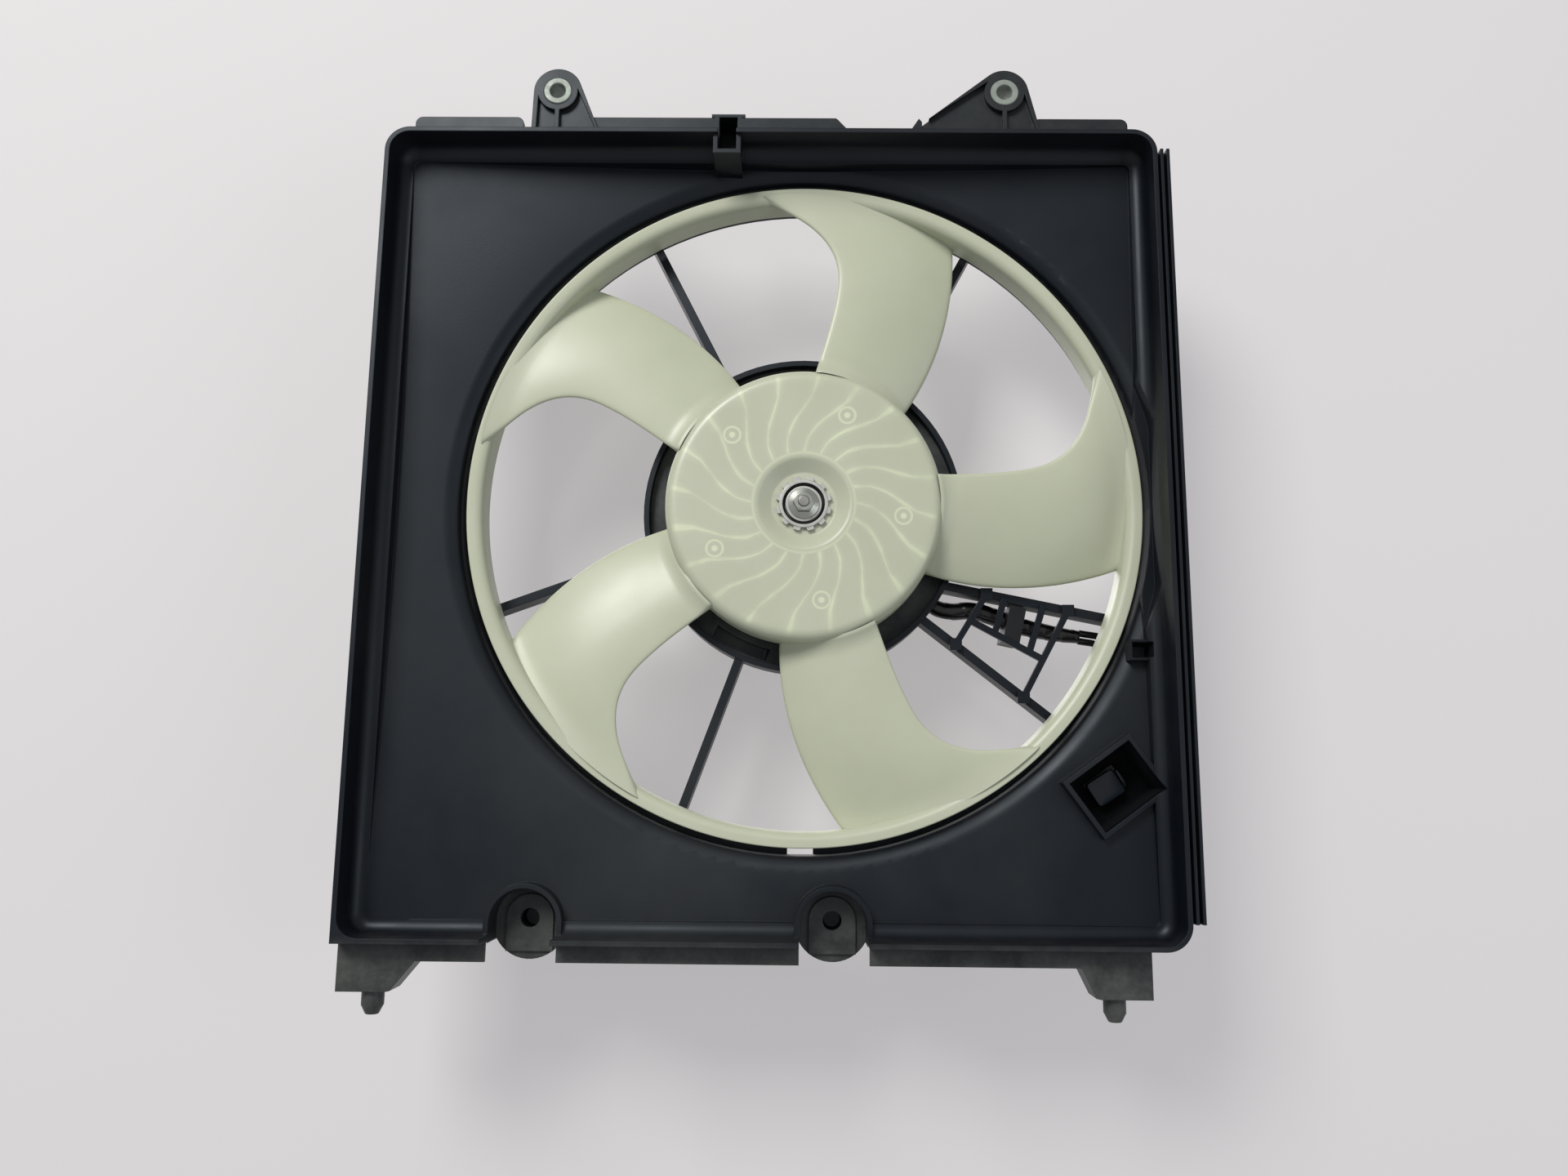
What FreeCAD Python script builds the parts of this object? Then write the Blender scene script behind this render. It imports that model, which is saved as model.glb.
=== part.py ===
"""Radiator fan shroud: moulded tray with a swept-blade ring fan and its brushed motor.

Row frame, millimetres.  The origin is where the fan axis crosses the rim plane.
X points to the right seen from the radiator side, Y from the radiator to the engine, Z up.
"""
import FreeCAD, Part
import math
import os

V = FreeCAD.Vector
FRONTWARD = V(0, -1, 0)

# ---------------------------------------------------------------- driving dimensions
# tray
RIM_W, RIM_H = 415.0, 426.5          # outside of the rim
RIM_CX, RIM_CZ = -19.6, -12.7        # rim centre, seen from the fan axis
RIM_R = 13.0                         # outside corner radius
WALL = 2.5                           # moulding wall
TRAY_D = 20.0                        # depth of the floor beside the walls
FLOOR_R = 7.0                        # radius between wall and floor
FUNNEL_R = 292.0                     # where the floor starts to fall to the barrel
MOUTH_Y = 29.0                       # depth of the barrel's mouth
MOUTH_R = 6.0                        # rounding of the mouth
# fan
FAN_Y = 28.0                         # front edge of the fan ring
FAN_R = 180.5                        # outside of the ring's front lip
RING_R, RING_WALL, RING_D = 175.0, 2.7, 17.0
HUB_Y, HUB_R, HUB_D, HUB_WALL = 26.0, 74.5, 22.0, 2.6
HUB_EDGE_R = 6.0
BLADES = 5
BLADE_T = 2.4
BLADE_PHASE = 0.0
HUB_RIBS = 20
RIB_T, RIB_D = 1.6, 5.0
RIB_SWEEP_MID, RIB_SWEEP_END = 8.0, 24.0
BOWL_R, BOWL_FLOOR_R, BOWL_D = 25.0, 17.5, 5.0
BOSS_R, BOSS_D = 17.5, 12.0
EJECTOR_R, EJECTOR_PCR, EJECTOR_ANGLE = 4.6, 54.0, 63.4
# metal hub insert, nut and shaft
INSERT_R, INSERT_RING_R, INSERT_RING_T = 12.4, 13.2, 2.2
INSERT_TOOTH_R, INSERT_TOOTH_W, INSERT_TEETH = 15.0, 3.4, 12
GROOVE_R, GROOVE_FLOOR_R, GROOVE_D = 11.3, 9.8, 3.5
NUT_AF, NUT_H, NUT_FLANGE_R, NUT_FLANGE_T = 10.0, 6.0, 8.3, 1.4
SHAFT_R, STUD_R, STUD_OUT = 4.0, 3.0, 0.8
COLLAR_R, WASHER_R, WASHER_T = 7.0, 9.0, 1.2
# clearances
TIP_GAP = 4.0                        # ring to barrel
REAR_GAP = 6.0                       # ring to the barrel's rear lip
RUN_GAP = 0.05                       # shaft in its bearings, radial
FIT_GAP = 0.1                        # parts pushed into or over each other
SWEEP_GAP = 0.4                      # brushes to commutator
AIR_GAP = 0.8                        # armature to magnets
# barrel and motor support
LIP_R = 175.7                        # hole in the barrel's rear lip
LIP_T = 3.0
SUPPORT_R, SUPPORT_Y, SUPPORT_D = 88.5, 52.0, 18.0
SUPPORT_WEB_Y, SUPPORT_T = 58.0, 3.0
STRUT_SET, STRUT_W, STRUT_D = 1.6, 4.6, 14.0
# upper fixing tabs
TAB_SPACING = 246.0
TAB_CX, TAB_RISE = -14.3, 27.45         # centre between the holes, height above the rim
TAB_R, TAB_Y, TAB_D = 13.2, 10.0, 13.0
TAB_POCKET_D, TAB_RIB = 3.0, 2.6
BUSH_R, BUSH_BORE_R, BUSH_L = 7.75, 4.25, 15.0
# lower locating pins
PIN_R, PIN_L, PIN_TIP_R, PIN_TIP_L = 5.5, 7.0, 3.2, 4.5
PIN_INSET = (16.1, 33.9)             # from the rim's left and right sides
PIN_Y = 20.0
LEG_DROP = 24.05                     # legs below the rim
LEG_INSET = (24.1, 26.6, 38.1)       # left leg: foot, heel and shoulder from the rim's side
LEG_RIGHT_INSET = (16.9, 41.9, 44.5, 51.3)
FLANGE_Y, FLANGE_T = 12.0, 2.5
TOP_FLANGE_H, BOTTOM_FLANGE_H = 12.95, 9.45
LEG_D = 16.0
# motor
CAN_R, CAN_WALL, CAN_L = 52.0, 2.0, 54.0
PLATE_T, PLATE_WALL, EAR_PCR, EAR_R = 3.0, 2.0, 64.0, 8.0
BOSS_FRONT_R, BOSS_FRONT_L = 14.0, 9.0
BOSS_REAR_R, BOSS_REAR_L = 13.0, 6.0
CAN_VENT_R, CAN_VENT_PCR, CAN_VENTS = 2.6, 34.0, 4
BEARING_R, BEARING_L = 9.0, 9.0
CORE_SET, CORE_L, SLOTS = 20.0, 22.0, 12
SLOT_MOUTH, SLOT_FLOOR_R, WINDING_END = 2.4, 18.0, 5.5
MAGNET_T, MAGNET_L, MAGNETS, MAGNET_SPAN = 6.0, 30.0, 4, 74.0
COMM_R, COMM_SET, COMM_L = 12.0, 3.4, 10.0
CARD_T = 2.4
BRUSH_W, BRUSH_H, BRUSH_L, GUIDE_WALL = 6.0, 7.0, 12.0, 1.5
SCREW_R, SCREW_HEAD_R, SCREW_HEAD_H, SCREW_L = 2.5, 4.6, 2.6, 13.0
SCREW_FIRST = 60.0
# lead, its guard and its connector
LEAD_R, WIRE_R, WIRE_SPACING = 4.6, 1.9, 4.4
LEAD_ANGLE, LEAD_SET = -34.0, 9.2
GROMMET_R, GROMMET_FLANGE_R = 5.8, 7.6
GUARD_T, GUARD_W, GUARD_LUG = 2.8, 3.4, 6.6
CLIP_L, CLIP_WALL = 9.0, 1.6
PLUG_L, PLUG_OUT, PLUG_WALL, PLUG_FLANGE, PLUG_FLANGE_T = 22.0, 3.0, 1.6, 3.0, 2.2
WIRE_SEAT = 7.0
TERMINAL_W, TERMINAL_T, TERMINAL_L, TERMINAL_SPACING = 4.8, 0.8, 15.0, 8.4

# derived places
RIM_X0, RIM_X1 = RIM_CX - RIM_W / 2, RIM_CX + RIM_W / 2
RIM_Z0, RIM_Z1 = RIM_CZ - RIM_H / 2, RIM_CZ + RIM_H / 2
BARREL_R = FAN_R + TIP_GAP
BARREL_END = FAN_Y + RING_D + REAR_GAP + LIP_T
STRUT_Y = BARREL_END - STRUT_SET
HUB_END = HUB_Y + HUB_D
BOWL_FLOOR_Y = HUB_Y + BOWL_D
BOSS_END = BOWL_FLOOR_Y + BOSS_D
TAB_Z = RIM_Z1 + TAB_RISE
LEG_BOTTOM = RIM_Z0 - LEG_DROP
PIN_X = (RIM_X0 + PIN_INSET[0], RIM_X1 - PIN_INSET[1])
CAN_Y = SUPPORT_WEB_Y
CAN_END = CAN_Y + CAN_L
CORE_R = CAN_R - CAN_WALL - FIT_GAP - MAGNET_T - AIR_GAP
FAR = 400.0


# ---------------------------------------------------------------- helpers
def box(x0, x1, y0, y1, z0, z1):
    return Part.makeBox(x1 - x0, y1 - y0, z1 - z0, V(x0, y0, z0))


def rod(radius, y0, y1, x=0.0, z=0.0):
    """A cylinder along Y."""
    return Part.makeCylinder(radius, y1 - y0, V(x, y0, z), V(0, 1, 0))


def tube(outer, inner, y0, y1, x=0.0, z=0.0):
    return rod(outer, y0, y1, x, z).cut(rod(inner, y0 - 1, y1 + 1, x, z))


def cone(r0, r1, y0, y1, x=0.0, z=0.0):
    return Part.makeCone(r0, r1, y1 - y0, V(x, y0, z), V(0, 1, 0))


def polar(radius, angle):
    """(x, z) at an angle in degrees, counter-clockwise seen from the radiator side."""
    return radius * math.cos(math.radians(angle)), radius * math.sin(math.radians(angle))


def spun(shape, angle, x=0.0, z=0.0):
    """A copy turned about an axis along Y, counter-clockwise seen from the radiator side."""
    copy = shape.copy()
    copy.rotate(V(x, 0, z), FRONTWARD, angle)
    return copy


def moved(shape, x=0.0, y=0.0, z=0.0):
    copy = shape.copy()
    copy.translate(V(x, y, z))
    return copy


def fused(shapes):
    shapes = list(shapes)
    return shapes[0].multiFuse(shapes[1:]).removeSplitter()


def rounded_wire(corners, place):
    """A closed wire from (a, b, radius) corners; place turns (a, b) into a point."""
    count = len(corners)
    marks = []
    for i, corner in enumerate(corners):
        here = V(corner[0], corner[1], 0)
        radius = corner[2] if len(corner) > 2 else 0.0
        before = V(corners[i - 1][0], corners[i - 1][1], 0) - here
        after = V(corners[(i + 1) % count][0], corners[(i + 1) % count][1], 0) - here
        before.normalize()
        after.normalize()
        if radius <= 0:
            marks.append((here, here, here))
            continue
        half = before.getAngle(after) / 2
        reach = radius / math.tan(half)
        middle = before + after
        middle.normalize()
        centre = here + middle * (radius / math.sin(half))
        marks.append((here + before * reach, centre - middle * radius, here + after * reach))
    edges = []
    for i, (start, mid, end) in enumerate(marks):
        if (end - start).Length > 1e-6:
            edges.append(Part.Arc(place(start), place(mid), place(end)).toShape())
        following = marks[(i + 1) % count][0]
        if (following - end).Length > 1e-6:
            edges.append(Part.LineSegment(place(end), place(following)).toShape())
    return Part.Wire(edges)


def plate(corners, y0, y1):
    """A flat outline in X and Z, carried from y0 to y1."""
    wire = rounded_wire(corners, lambda p: V(p.x, y0, p.y))
    return Part.Face(wire).extrude(V(0, y1 - y0, 0))


def turned(corners):
    """A solid of revolution about the fan axis from (radius, y, rounding) corners."""
    wire = rounded_wire(corners, lambda p: V(p.x, p.y, 0))
    return Part.Face(wire).revolve(V(0, 0, 0), V(0, 1, 0), 360)


def ring_of(shape, count, phase=0.0):
    return [spun(shape, phase + 360.0 * i / count) for i in range(count)]


def bar(start, end, width, y0, y1):
    """A straight bar between two (x, z) points."""
    along = V(end[0] - start[0], end[1] - start[1], 0)
    side = V(-along.y, along.x, 0)
    side.normalize()
    side *= width / 2
    corners = [(start[0] + side.x, start[1] + side.y), (end[0] + side.x, end[1] + side.y),
               (end[0] - side.x, end[1] - side.y), (start[0] - side.x, start[1] - side.y)]
    return plate(corners, y0, y1)


def rim_outline(inset, square_corner=False):
    """The rim's outline, moved in by inset; the outside has one square corner."""
    x0, x1, z0, z1 = RIM_X0 + inset, RIM_X1 - inset, RIM_Z0 + inset, RIM_Z1 - inset
    radius = max(RIM_R - inset, 3.0)
    return [(x0, z0, 0 if square_corner else radius), (x1, z0, radius), (x1, z1, radius), (x0, z1, radius)]


# ---------------------------------------------------------------- shroud: tray and barrel
def funnel_space():
    """Everything in front of the tray floor, the barrel's bore included."""
    return turned([(0, -10), (FUNNEL_R, -10), (FUNNEL_R, TRAY_D),
                   (BARREL_R + MOUTH_R, MOUTH_Y, 12.0), (BARREL_R, MOUTH_Y + 4.0, 5.0),
                   (BARREL_R, BARREL_END - LIP_T), (LIP_R, BARREL_END - LIP_T),
                   (LIP_R, BARREL_END + 1), (0, BARREL_END + 1)])


def funnel_body():
    """The same surface one wall further back."""
    return turned([(0, -10), (FUNNEL_R, -10), (FUNNEL_R, TRAY_D + WALL),
                   (BARREL_R + MOUTH_R + WALL, MOUTH_Y + WALL, 10.0), (BARREL_R + WALL, MOUTH_Y + 7.0, 6.0),
                   (BARREL_R + WALL, BARREL_END), (0, BARREL_END)])


def tray_space():
    """The tray's hollow: walls, rounded floor corner, and the funnel where it is deeper."""
    dish = plate(rim_outline(WALL), -1, TRAY_D)
    floor_edges = [e for e in dish.Edges if all(abs(v.Point.y - TRAY_D) < 1e-6 for v in e.Vertexes)]
    dish = dish.makeFillet(FLOOR_R, floor_edges)
    inner = plate(rim_outline(WALL + FLOOR_R), 1, FAR)
    reach = rod(BARREL_R + MOUTH_R, 8, MOUTH_Y).common(plate(rim_outline(WALL), 1, FAR))
    funnel = funnel_space()
    bore = rod(BARREL_R, 8, BARREL_END - LIP_T).fuse(rod(LIP_R, 8, BARREL_END + 1))
    return fused([dish, funnel.common(inner), reach, bore])


def tray():
    shell = plate(rim_outline(0, square_corner=True), 0, TRAY_D + WALL)
    step = funnel_body().common(plate(rim_outline(FLOOR_R), 1, FAR))
    barrel = rod(BARREL_R + WALL, 10, BARREL_END)
    mouth = rod(BARREL_R + MOUTH_R + WALL, 10, MOUTH_Y + WALL).common(plate(rim_outline(0), 0, FAR))
    return fused([shell, step, barrel, mouth]).cut(tray_space())


# ---------------------------------------------------------------- shroud: edge features
TOP_FLANGE_Z, BOTTOM_FLANGE_Z = RIM_Z1 + TOP_FLANGE_H, RIM_Z0 - BOTTOM_FLANGE_H
SLOT_X, SLOT_W, SLOT_Z0 = RIM_CX - 23.3, 10.0, RIM_Z1 - 11.0    # clip channel at the top
SLOT_END, SLOT_D, SLOT_CAP_W = TOP_FLANGE_Z + 0.3, 30.0, 18.5
TOP_FLANGE = ((RIM_X0 + 11.6, RIM_X0 + 71.4), (RIM_CX - 97.9, RIM_CX + 41.6), (RIM_X1 - 63.9, RIM_X1 - 11.9))
NOTCH_X = (RIM_CX - 118.4, RIM_CX + 35.5)              # screw bays in the lower edge
NOTCH_Z, NOTCH_R, NOTCH_END = RIM_Z0 + 8.45, 17.0, 38.0
BOTTOM_FLANGE = ((RIM_X0 + 35.1, NOTCH_X[0] - NOTCH_R),
                 (NOTCH_X[0] + NOTCH_R + 1, NOTCH_X[1] - NOTCH_R + 0.6),
                 (NOTCH_X[1] + NOTCH_R + 0.7, RIM_X1 - 50.9))
LUG_R, LUG_Y, LUG_HOLE_R, LUG_BOTTOM = 12.0, 34.0, 4.8, RIM_Z0 - 7.05
SIDE_X, SIDE_Z0, SIDE_Z1 = RIM_X1 + 7.1, RIM_Z0 + 12.65, RIM_Z1 - 10.05    # ribbed side strip


def top_flanges():
    parts = []
    for i, (x0, x1) in enumerate(TOP_FLANGE):
        root = RIM_Z1 - WALL
        left = 4.0 if i != 1 else 0.0
        corners = [(x0, root), (x1, root), (x1, TOP_FLANGE_Z, 4.0), (x0, TOP_FLANGE_Z, left)]
        if i == 1:
            corners[1] = (x1, root)
            corners[2:3] = [(x1, RIM_Z1 + 7.0), (x1 - 5.5, TOP_FLANGE_Z, 2.0)]
        parts.append(plate(corners, FLANGE_Y, FLANGE_Y + FLANGE_T))
    return parts


def bottom_flanges():
    return [box(x0, x1, FLANGE_Y, FLANGE_Y + FLANGE_T, BOTTOM_FLANGE_Z, RIM_Z0 + WALL)
            for x0, x1 in BOTTOM_FLANGE]


def leg(outer, foot, heel, shoulder):
    """A locating leg: a folded plate that is open to the rear, given by its outline's x values."""
    root = RIM_Z0 + WALL
    corners = [(outer, root), (outer, LEG_BOTTOM), (foot, LEG_BOTTOM), (heel, LEG_BOTTOM + 0.5),
               (shoulder, BOTTOM_FLANGE_Z), (shoulder, root)]
    shape = plate(corners, FLANGE_Y, FLANGE_Y + LEG_D)
    lean = 1 if shoulder > outer else -1
    inside = [(outer + lean * WALL, root + 0.1), (outer + lean * WALL, LEG_BOTTOM + 12.0),
              (heel - lean * 1.0, LEG_BOTTOM + 12.0), (shoulder - lean * WALL, BOTTOM_FLANGE_Z + 1.0),
              (shoulder - lean * WALL, root + 0.1)]
    return shape.cut(plate(inside, FLANGE_Y + WALL, FLANGE_Y + LEG_D + 1))


def pin(x):
    """A lower locating pin: straight, then tapered to its tip."""
    wire = rounded_wire([(0, 2.0), (PIN_R, 2.0), (PIN_R, -PIN_L), (PIN_TIP_R, -PIN_L - PIN_TIP_L, 0.8),
                         (0, -PIN_L - PIN_TIP_L)], lambda p: V(x + p.x, PIN_Y, LEG_BOTTOM + p.y))
    return Part.Face(wire).revolve(V(x, PIN_Y, 0), V(0, 0, 1), 360)


def tab(x, left, right):
    """An upper fixing tab; left and right are the feet of its sides, as x from the hole."""
    root = RIM_Z1 - WALL - TAB_Z
    outline = tangent_outline(TAB_R, left, right, root)
    shape = plate([(x + a, TAB_Z + b) for a, b in outline], TAB_Y, TAB_Y + TAB_D)
    shape = shape.fuse(rod(TAB_R, TAB_Y, TAB_Y + TAB_D, x, TAB_Z))
    inset = tangent_outline(TAB_R - TAB_RIB, left + TAB_RIB, right - TAB_RIB, root + WALL + 1.0)
    pocket = plate([(x + a, TAB_Z + b) for a, b in inset], 0, FAR)
    pocket = pocket.cut(rod(BUSH_R + TAB_RIB + 0.6, -1, FAR + 1, x, TAB_Z))
    pocket = pocket.cut(box(x - 1.2, x + 1.2, -1, FAR + 1, TAB_Z + root - 5, TAB_Z))
    for y0, y1 in ((TAB_Y - 1, TAB_Y + TAB_POCKET_D), (TAB_Y + TAB_POCKET_D + WALL, TAB_Y + TAB_D + 1)):
        shape = shape.cut(pocket.common(box(-FAR, FAR, y0, y1, -FAR, FAR)))
    return shape


def tangent_outline(radius, left, right, root):
    """Foot, tangent to a circle about the origin, tangent, foot: the sides of a tab."""
    marks = []
    for foot_x, turn in ((left, -1), (right, 1)):
        distance = math.hypot(foot_x, root)
        towards = math.atan2(root, foot_x)
        angle = towards + turn * math.acos(min(1.0, radius / distance))
        marks.append((radius * math.cos(angle), radius * math.sin(angle)))
    return [(left, root), marks[0], marks[1], (right, root)]


def clip_channel():
    """The deep clip channel that runs from the top flange down into the floor."""
    x0, x1 = SLOT_X - SLOT_W / 2, SLOT_X + SLOT_W / 2
    shell = box(x0 - WALL, x1 + WALL, 2, SLOT_D + WALL, SLOT_Z0 - WALL, RIM_Z1)
    upper = box(x0 - WALL, x1 + WALL, FLANGE_Y, SLOT_D + WALL, RIM_Z1 - 1, SLOT_END + 1.8)
    cap = box(SLOT_X - SLOT_CAP_W / 2, SLOT_X + SLOT_CAP_W / 2, FLANGE_Y, FLANGE_Y + 9.0,
              SLOT_END, SLOT_END + 1.8)
    return [shell, upper, cap], box(x0, x1, -1, SLOT_D, SLOT_Z0, SLOT_END)


def screw_bay(x):
    """A bay where the lower edge steps round a screw lug: the solid added and the space cut."""
    def arch(radius, y0, y1, bottom):
        return rod(radius, y0, y1, x, NOTCH_Z).fuse(box(x - radius, x + radius, y0, y1, bottom, NOTCH_Z))
    shell = arch(NOTCH_R + WALL, TRAY_D - 4, NOTCH_END, RIM_Z0)
    space = arch(NOTCH_R, -1, NOTCH_END - WALL, RIM_Z0 - 20)
    lug = rod(LUG_R, LUG_Y, NOTCH_END, x, NOTCH_Z + 1.0)
    lug = lug.fuse(box(x - LUG_R, x + LUG_R, LUG_Y, NOTCH_END, LUG_BOTTOM, NOTCH_Z + 1.0))
    hole = rod(LUG_HOLE_R, 0, FAR, x, NOTCH_Z + 1.0)
    return shell, space, lug, hole


def side_strip():
    """The ribbed strip along the right side: a thin wall with two ridges towards the radiator."""
    web = box(RIM_X1 - 1, SIDE_X, 7.0, 9.5, SIDE_Z0, SIDE_Z1)
    ridges = [box(x - 0.8, x + 0.8, 2.0, 8.0, SIDE_Z0, SIDE_Z1) for x in (RIM_X1 + 3.0, SIDE_X - 0.8)]
    return [web] + ridges


# ---------------------------------------------------------------- shroud: pockets in the floor
POCKET_X, POCKET_Z, POCKET_ANGLE = RIM_X1 - 28.4, -147.7, 36.0    # connector pocket
POCKET_W, POCKET_H, POCKET_D = 38.0, 30.0, 27.0
POCKET_Y = TRAY_D + 4.0
POCKET_END = POCKET_Y + POCKET_D
WINDOW_W, WINDOW_H, WINDOW_DX = 19.0, 13.4, 1.0
VENT_X, VENT_Z, VENT_W, VENT_H = RIM_X1 - 12.4, -78.0, 10.0, 8.0
DRAIN_X, DRAIN_W = -0.6, 13.6


def pocket_frame(w, h, y0, y1, dx=0.0, dz=0.0):
    """A box in the connector pocket's own tilted axes."""
    shape = box(dx - w / 2, dx + w / 2, y0, y1, dz - h / 2, dz + h / 2)
    return moved(spun(shape, POCKET_ANGLE), POCKET_X, 0, POCKET_Z)


def connector_pocket():
    shell = pocket_frame(POCKET_W + 2 * WALL, POCKET_H + 2 * WALL, TRAY_D, POCKET_END)
    shell = shell.common(plate(rim_outline(0), 0, FAR))
    space = pocket_frame(POCKET_W, POCKET_H, 0, POCKET_END - WALL)
    space = space.common(plate(rim_outline(WALL), 0, FAR))
    window = pocket_frame(WINDOW_W, WINDOW_H, POCKET_Y, FAR, dx=WINDOW_DX)
    return shell, space, window


# ---------------------------------------------------------------- shroud: struts and motor support
STRUTS = {                                  # hub end and barrel end, x and z
    "upper_left": ((-42.5, 73.5), (-90.1, 166.4)),
    "upper_right": ((48.0, 69.0), (99.5, 166.1)),
    "left": ((-82.0, -23.5), (-179.7, -59.5)),
    "bottom": ((-34.0, -80.0), (-69.0, -176.1)),
    "lower_rail": ((64.0, -57.8), (148.3, -123.4)),
    "upper_rail": ((75.0, -39.6), (184.2, -61.1)),
}


def support_ring():
    """The annular motor seat: outer band, web with pockets, inner band and radial ribs."""
    inner_r = CAN_R + 2.5
    band = tube(SUPPORT_R, SUPPORT_R - SUPPORT_T, SUPPORT_Y, SUPPORT_Y + SUPPORT_D)
    web = tube(SUPPORT_R, inner_r, SUPPORT_WEB_Y, SUPPORT_WEB_Y + SUPPORT_T)
    hub = tube(inner_r + SUPPORT_T, inner_r, SUPPORT_WEB_Y, SUPPORT_Y + SUPPORT_D)
    rib = box(inner_r + 1, SUPPORT_R - 1, SUPPORT_WEB_Y, SUPPORT_Y + SUPPORT_D, -1.0, 1.0)
    ribs = ring_of(rib, 12, 15.0)
    bosses = ring_of(rod(EAR_R, SUPPORT_WEB_Y, SUPPORT_Y + SUPPORT_D, EAR_PCR, 0), 3, SCREW_FIRST)
    body = fused([band, web, hub] + ribs + bosses)
    pocket = tube(SUPPORT_R - SUPPORT_T - 1.5, 77.5, 0, FAR)
    wedge = box(60, 100, SUPPORT_WEB_Y - 1, SUPPORT_WEB_Y + SUPPORT_T + 1, -16.0, 16.0)
    pocket = pocket.common(wedge)
    for angle in (245.0, 125.0, 5.0):
        body = body.cut(spun(pocket, angle))
    body = body.cut(rod(inner_r, 0, FAR))
    for hole in screw_holes():
        body = body.cut(hole)
    return body.cut(lead_passage())


def screw_holes():
    return ring_of(rod(SCREW_R, 0, FAR, EAR_PCR, 0), 3, SCREW_FIRST)


def lead_passage():
    """The notch in the support's bands that the lead leaves through."""
    half = LEAD_R + 1.6
    return spun(box(CAN_R, SUPPORT_R + 1, SUPPORT_WEB_Y + SUPPORT_T, FAR, -half, half), LEAD_ANGLE)


def struts():
    clear = rod(SUPPORT_R - 1.0, 0, FAR)
    inside = rod(BARREL_R + WALL, 0, FAR)
    shapes = []
    for start, end in STRUTS.values():
        beam = bar(start, end, STRUT_W, STRUT_Y, STRUT_Y + STRUT_D)
        shapes.append(beam.cut(clear).common(inside))
    return shapes


def shroud():
    body = tray()
    channel, channel_space = clip_channel()
    pocket_shell, pocket_space, pocket_window = connector_pocket()
    bays = [screw_bay(x) for x in NOTCH_X]
    solids = [body] + top_flanges() + bottom_flanges() + side_strip() + channel
    solids += [tab(TAB_CX - TAB_SPACING / 2, -14.0, 26.0), tab(TAB_CX + TAB_SPACING / 2, -60.0, 21.0)]
    solids.append(leg(RIM_X0, *[RIM_X0 + inset for inset in LEG_INSET]))
    solids.append(leg(*[RIM_X1 - inset for inset in LEG_RIGHT_INSET]))
    solids += [pin(x) for x in PIN_X]
    solids += [bay[0] for bay in bays] + [pocket_shell]
    solids += [support_ring()] + struts()
    ramp = plate([(54.0, RIM_Z1 - 1), (54.0, RIM_Z1 + 1.0), (61.8, TOP_FLANGE_Z), (63.5, TOP_FLANGE_Z - 2),
                  (63.5, RIM_Z1 - 1)], FLANGE_Y, FLANGE_Y + 8.0)
    body = fused(solids + [ramp])
    for bay in bays:
        body = body.cut(bay[1])
    body = fused([body] + [bay[2] for bay in bays])
    for x in (TAB_CX - TAB_SPACING / 2, TAB_CX + TAB_SPACING / 2):
        body = body.cut(rod(BUSH_R, 0, FAR, x, TAB_Z))
    cuts = [channel_space, pocket_space, pocket_window] + [bay[3] for bay in bays]
    cuts.append(box(VENT_X - VENT_W / 2, VENT_X + VENT_W / 2, 0, FAR,
                    VENT_Z - VENT_H / 2, VENT_Z + VENT_H / 2))
    cuts.append(box(DRAIN_X - DRAIN_W / 2, DRAIN_X + DRAIN_W / 2, MOUTH_Y + 6, BARREL_END + 1,
                    -BARREL_R - 0.2, -LIP_R + 2))
    for cut in cuts:
        body = body.cut(cut)
    return body.removeSplitter()


# ---------------------------------------------------------------- fan
BLADE_ROOT_Y, BLADE_TIP_Y = 30.5, 28.8               # front edge of a blade at hub and ring
BLADE_ROOT_REACH, BLADE_TIP_REACH = 14.8, 13.4       # how far back its rear edge lies
BLADE_CAMBER = 2.2
LEAD_ROOT, LEAD_MIN, LEAD_TIP = 85.5, 81.6, 98.0     # front edge angles: root, waist, tip
LEAD_WAIST_R = 120.0
TRAIL_ROOT, TRAIL_TIP = 44.2, 61.3                   # rear edge angles
BLADE_R0, BLADE_R1 = HUB_R - HUB_WALL / 2, RING_R - RING_WALL / 2


def lead_angle(r):
    """Front edge of a blade: bows in to a waist, then sweeps forward into the ring."""
    if r < LEAD_WAIST_R:
        share = (LEAD_WAIST_R - r) / (LEAD_WAIST_R - BLADE_R0)
        return LEAD_MIN + (LEAD_ROOT - LEAD_MIN) * share ** 2
    share = (r - LEAD_WAIST_R) / (BLADE_R1 - LEAD_WAIST_R)
    return LEAD_MIN + (LEAD_TIP - LEAD_MIN) * share ** 2.4


def trail_angle(r):
    """Rear edge of a blade: swept steadily forward from root to tip."""
    share = max(0.0, (r - BLADE_R0) / (BLADE_R1 - BLADE_R0))
    return TRAIL_ROOT + (TRAIL_TIP - TRAIL_ROOT) * share ** 1.15


def blade_point(r, s):
    """A point of the blade's front surface; s runs from the front edge (0) to the rear edge (1)."""
    share = (r - BLADE_R0) / (BLADE_R1 - BLADE_R0)
    front = BLADE_ROOT_Y + (BLADE_TIP_Y - BLADE_ROOT_Y) * share
    reach = BLADE_ROOT_REACH + (BLADE_TIP_REACH - BLADE_ROOT_REACH) * share
    y = front + reach * s - 4 * BLADE_CAMBER * s * (1 - s)
    x, z = polar(r, lead_angle(r) + (trail_angle(r) - lead_angle(r)) * s)
    return V(x, y, z)


def blade():
    """One blade: a cambered surface through the points above, carried back by its thickness."""
    radii = [BLADE_R0 + (BLADE_R1 - BLADE_R0) * i / 9 for i in range(10)]
    grid = [[blade_point(r, j / 6) for j in range(7)] for r in radii]
    surface = Part.BSplineSurface()
    surface.interpolate(grid)
    return surface.toShape().extrude(V(0, BLADE_T, 0))


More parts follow.
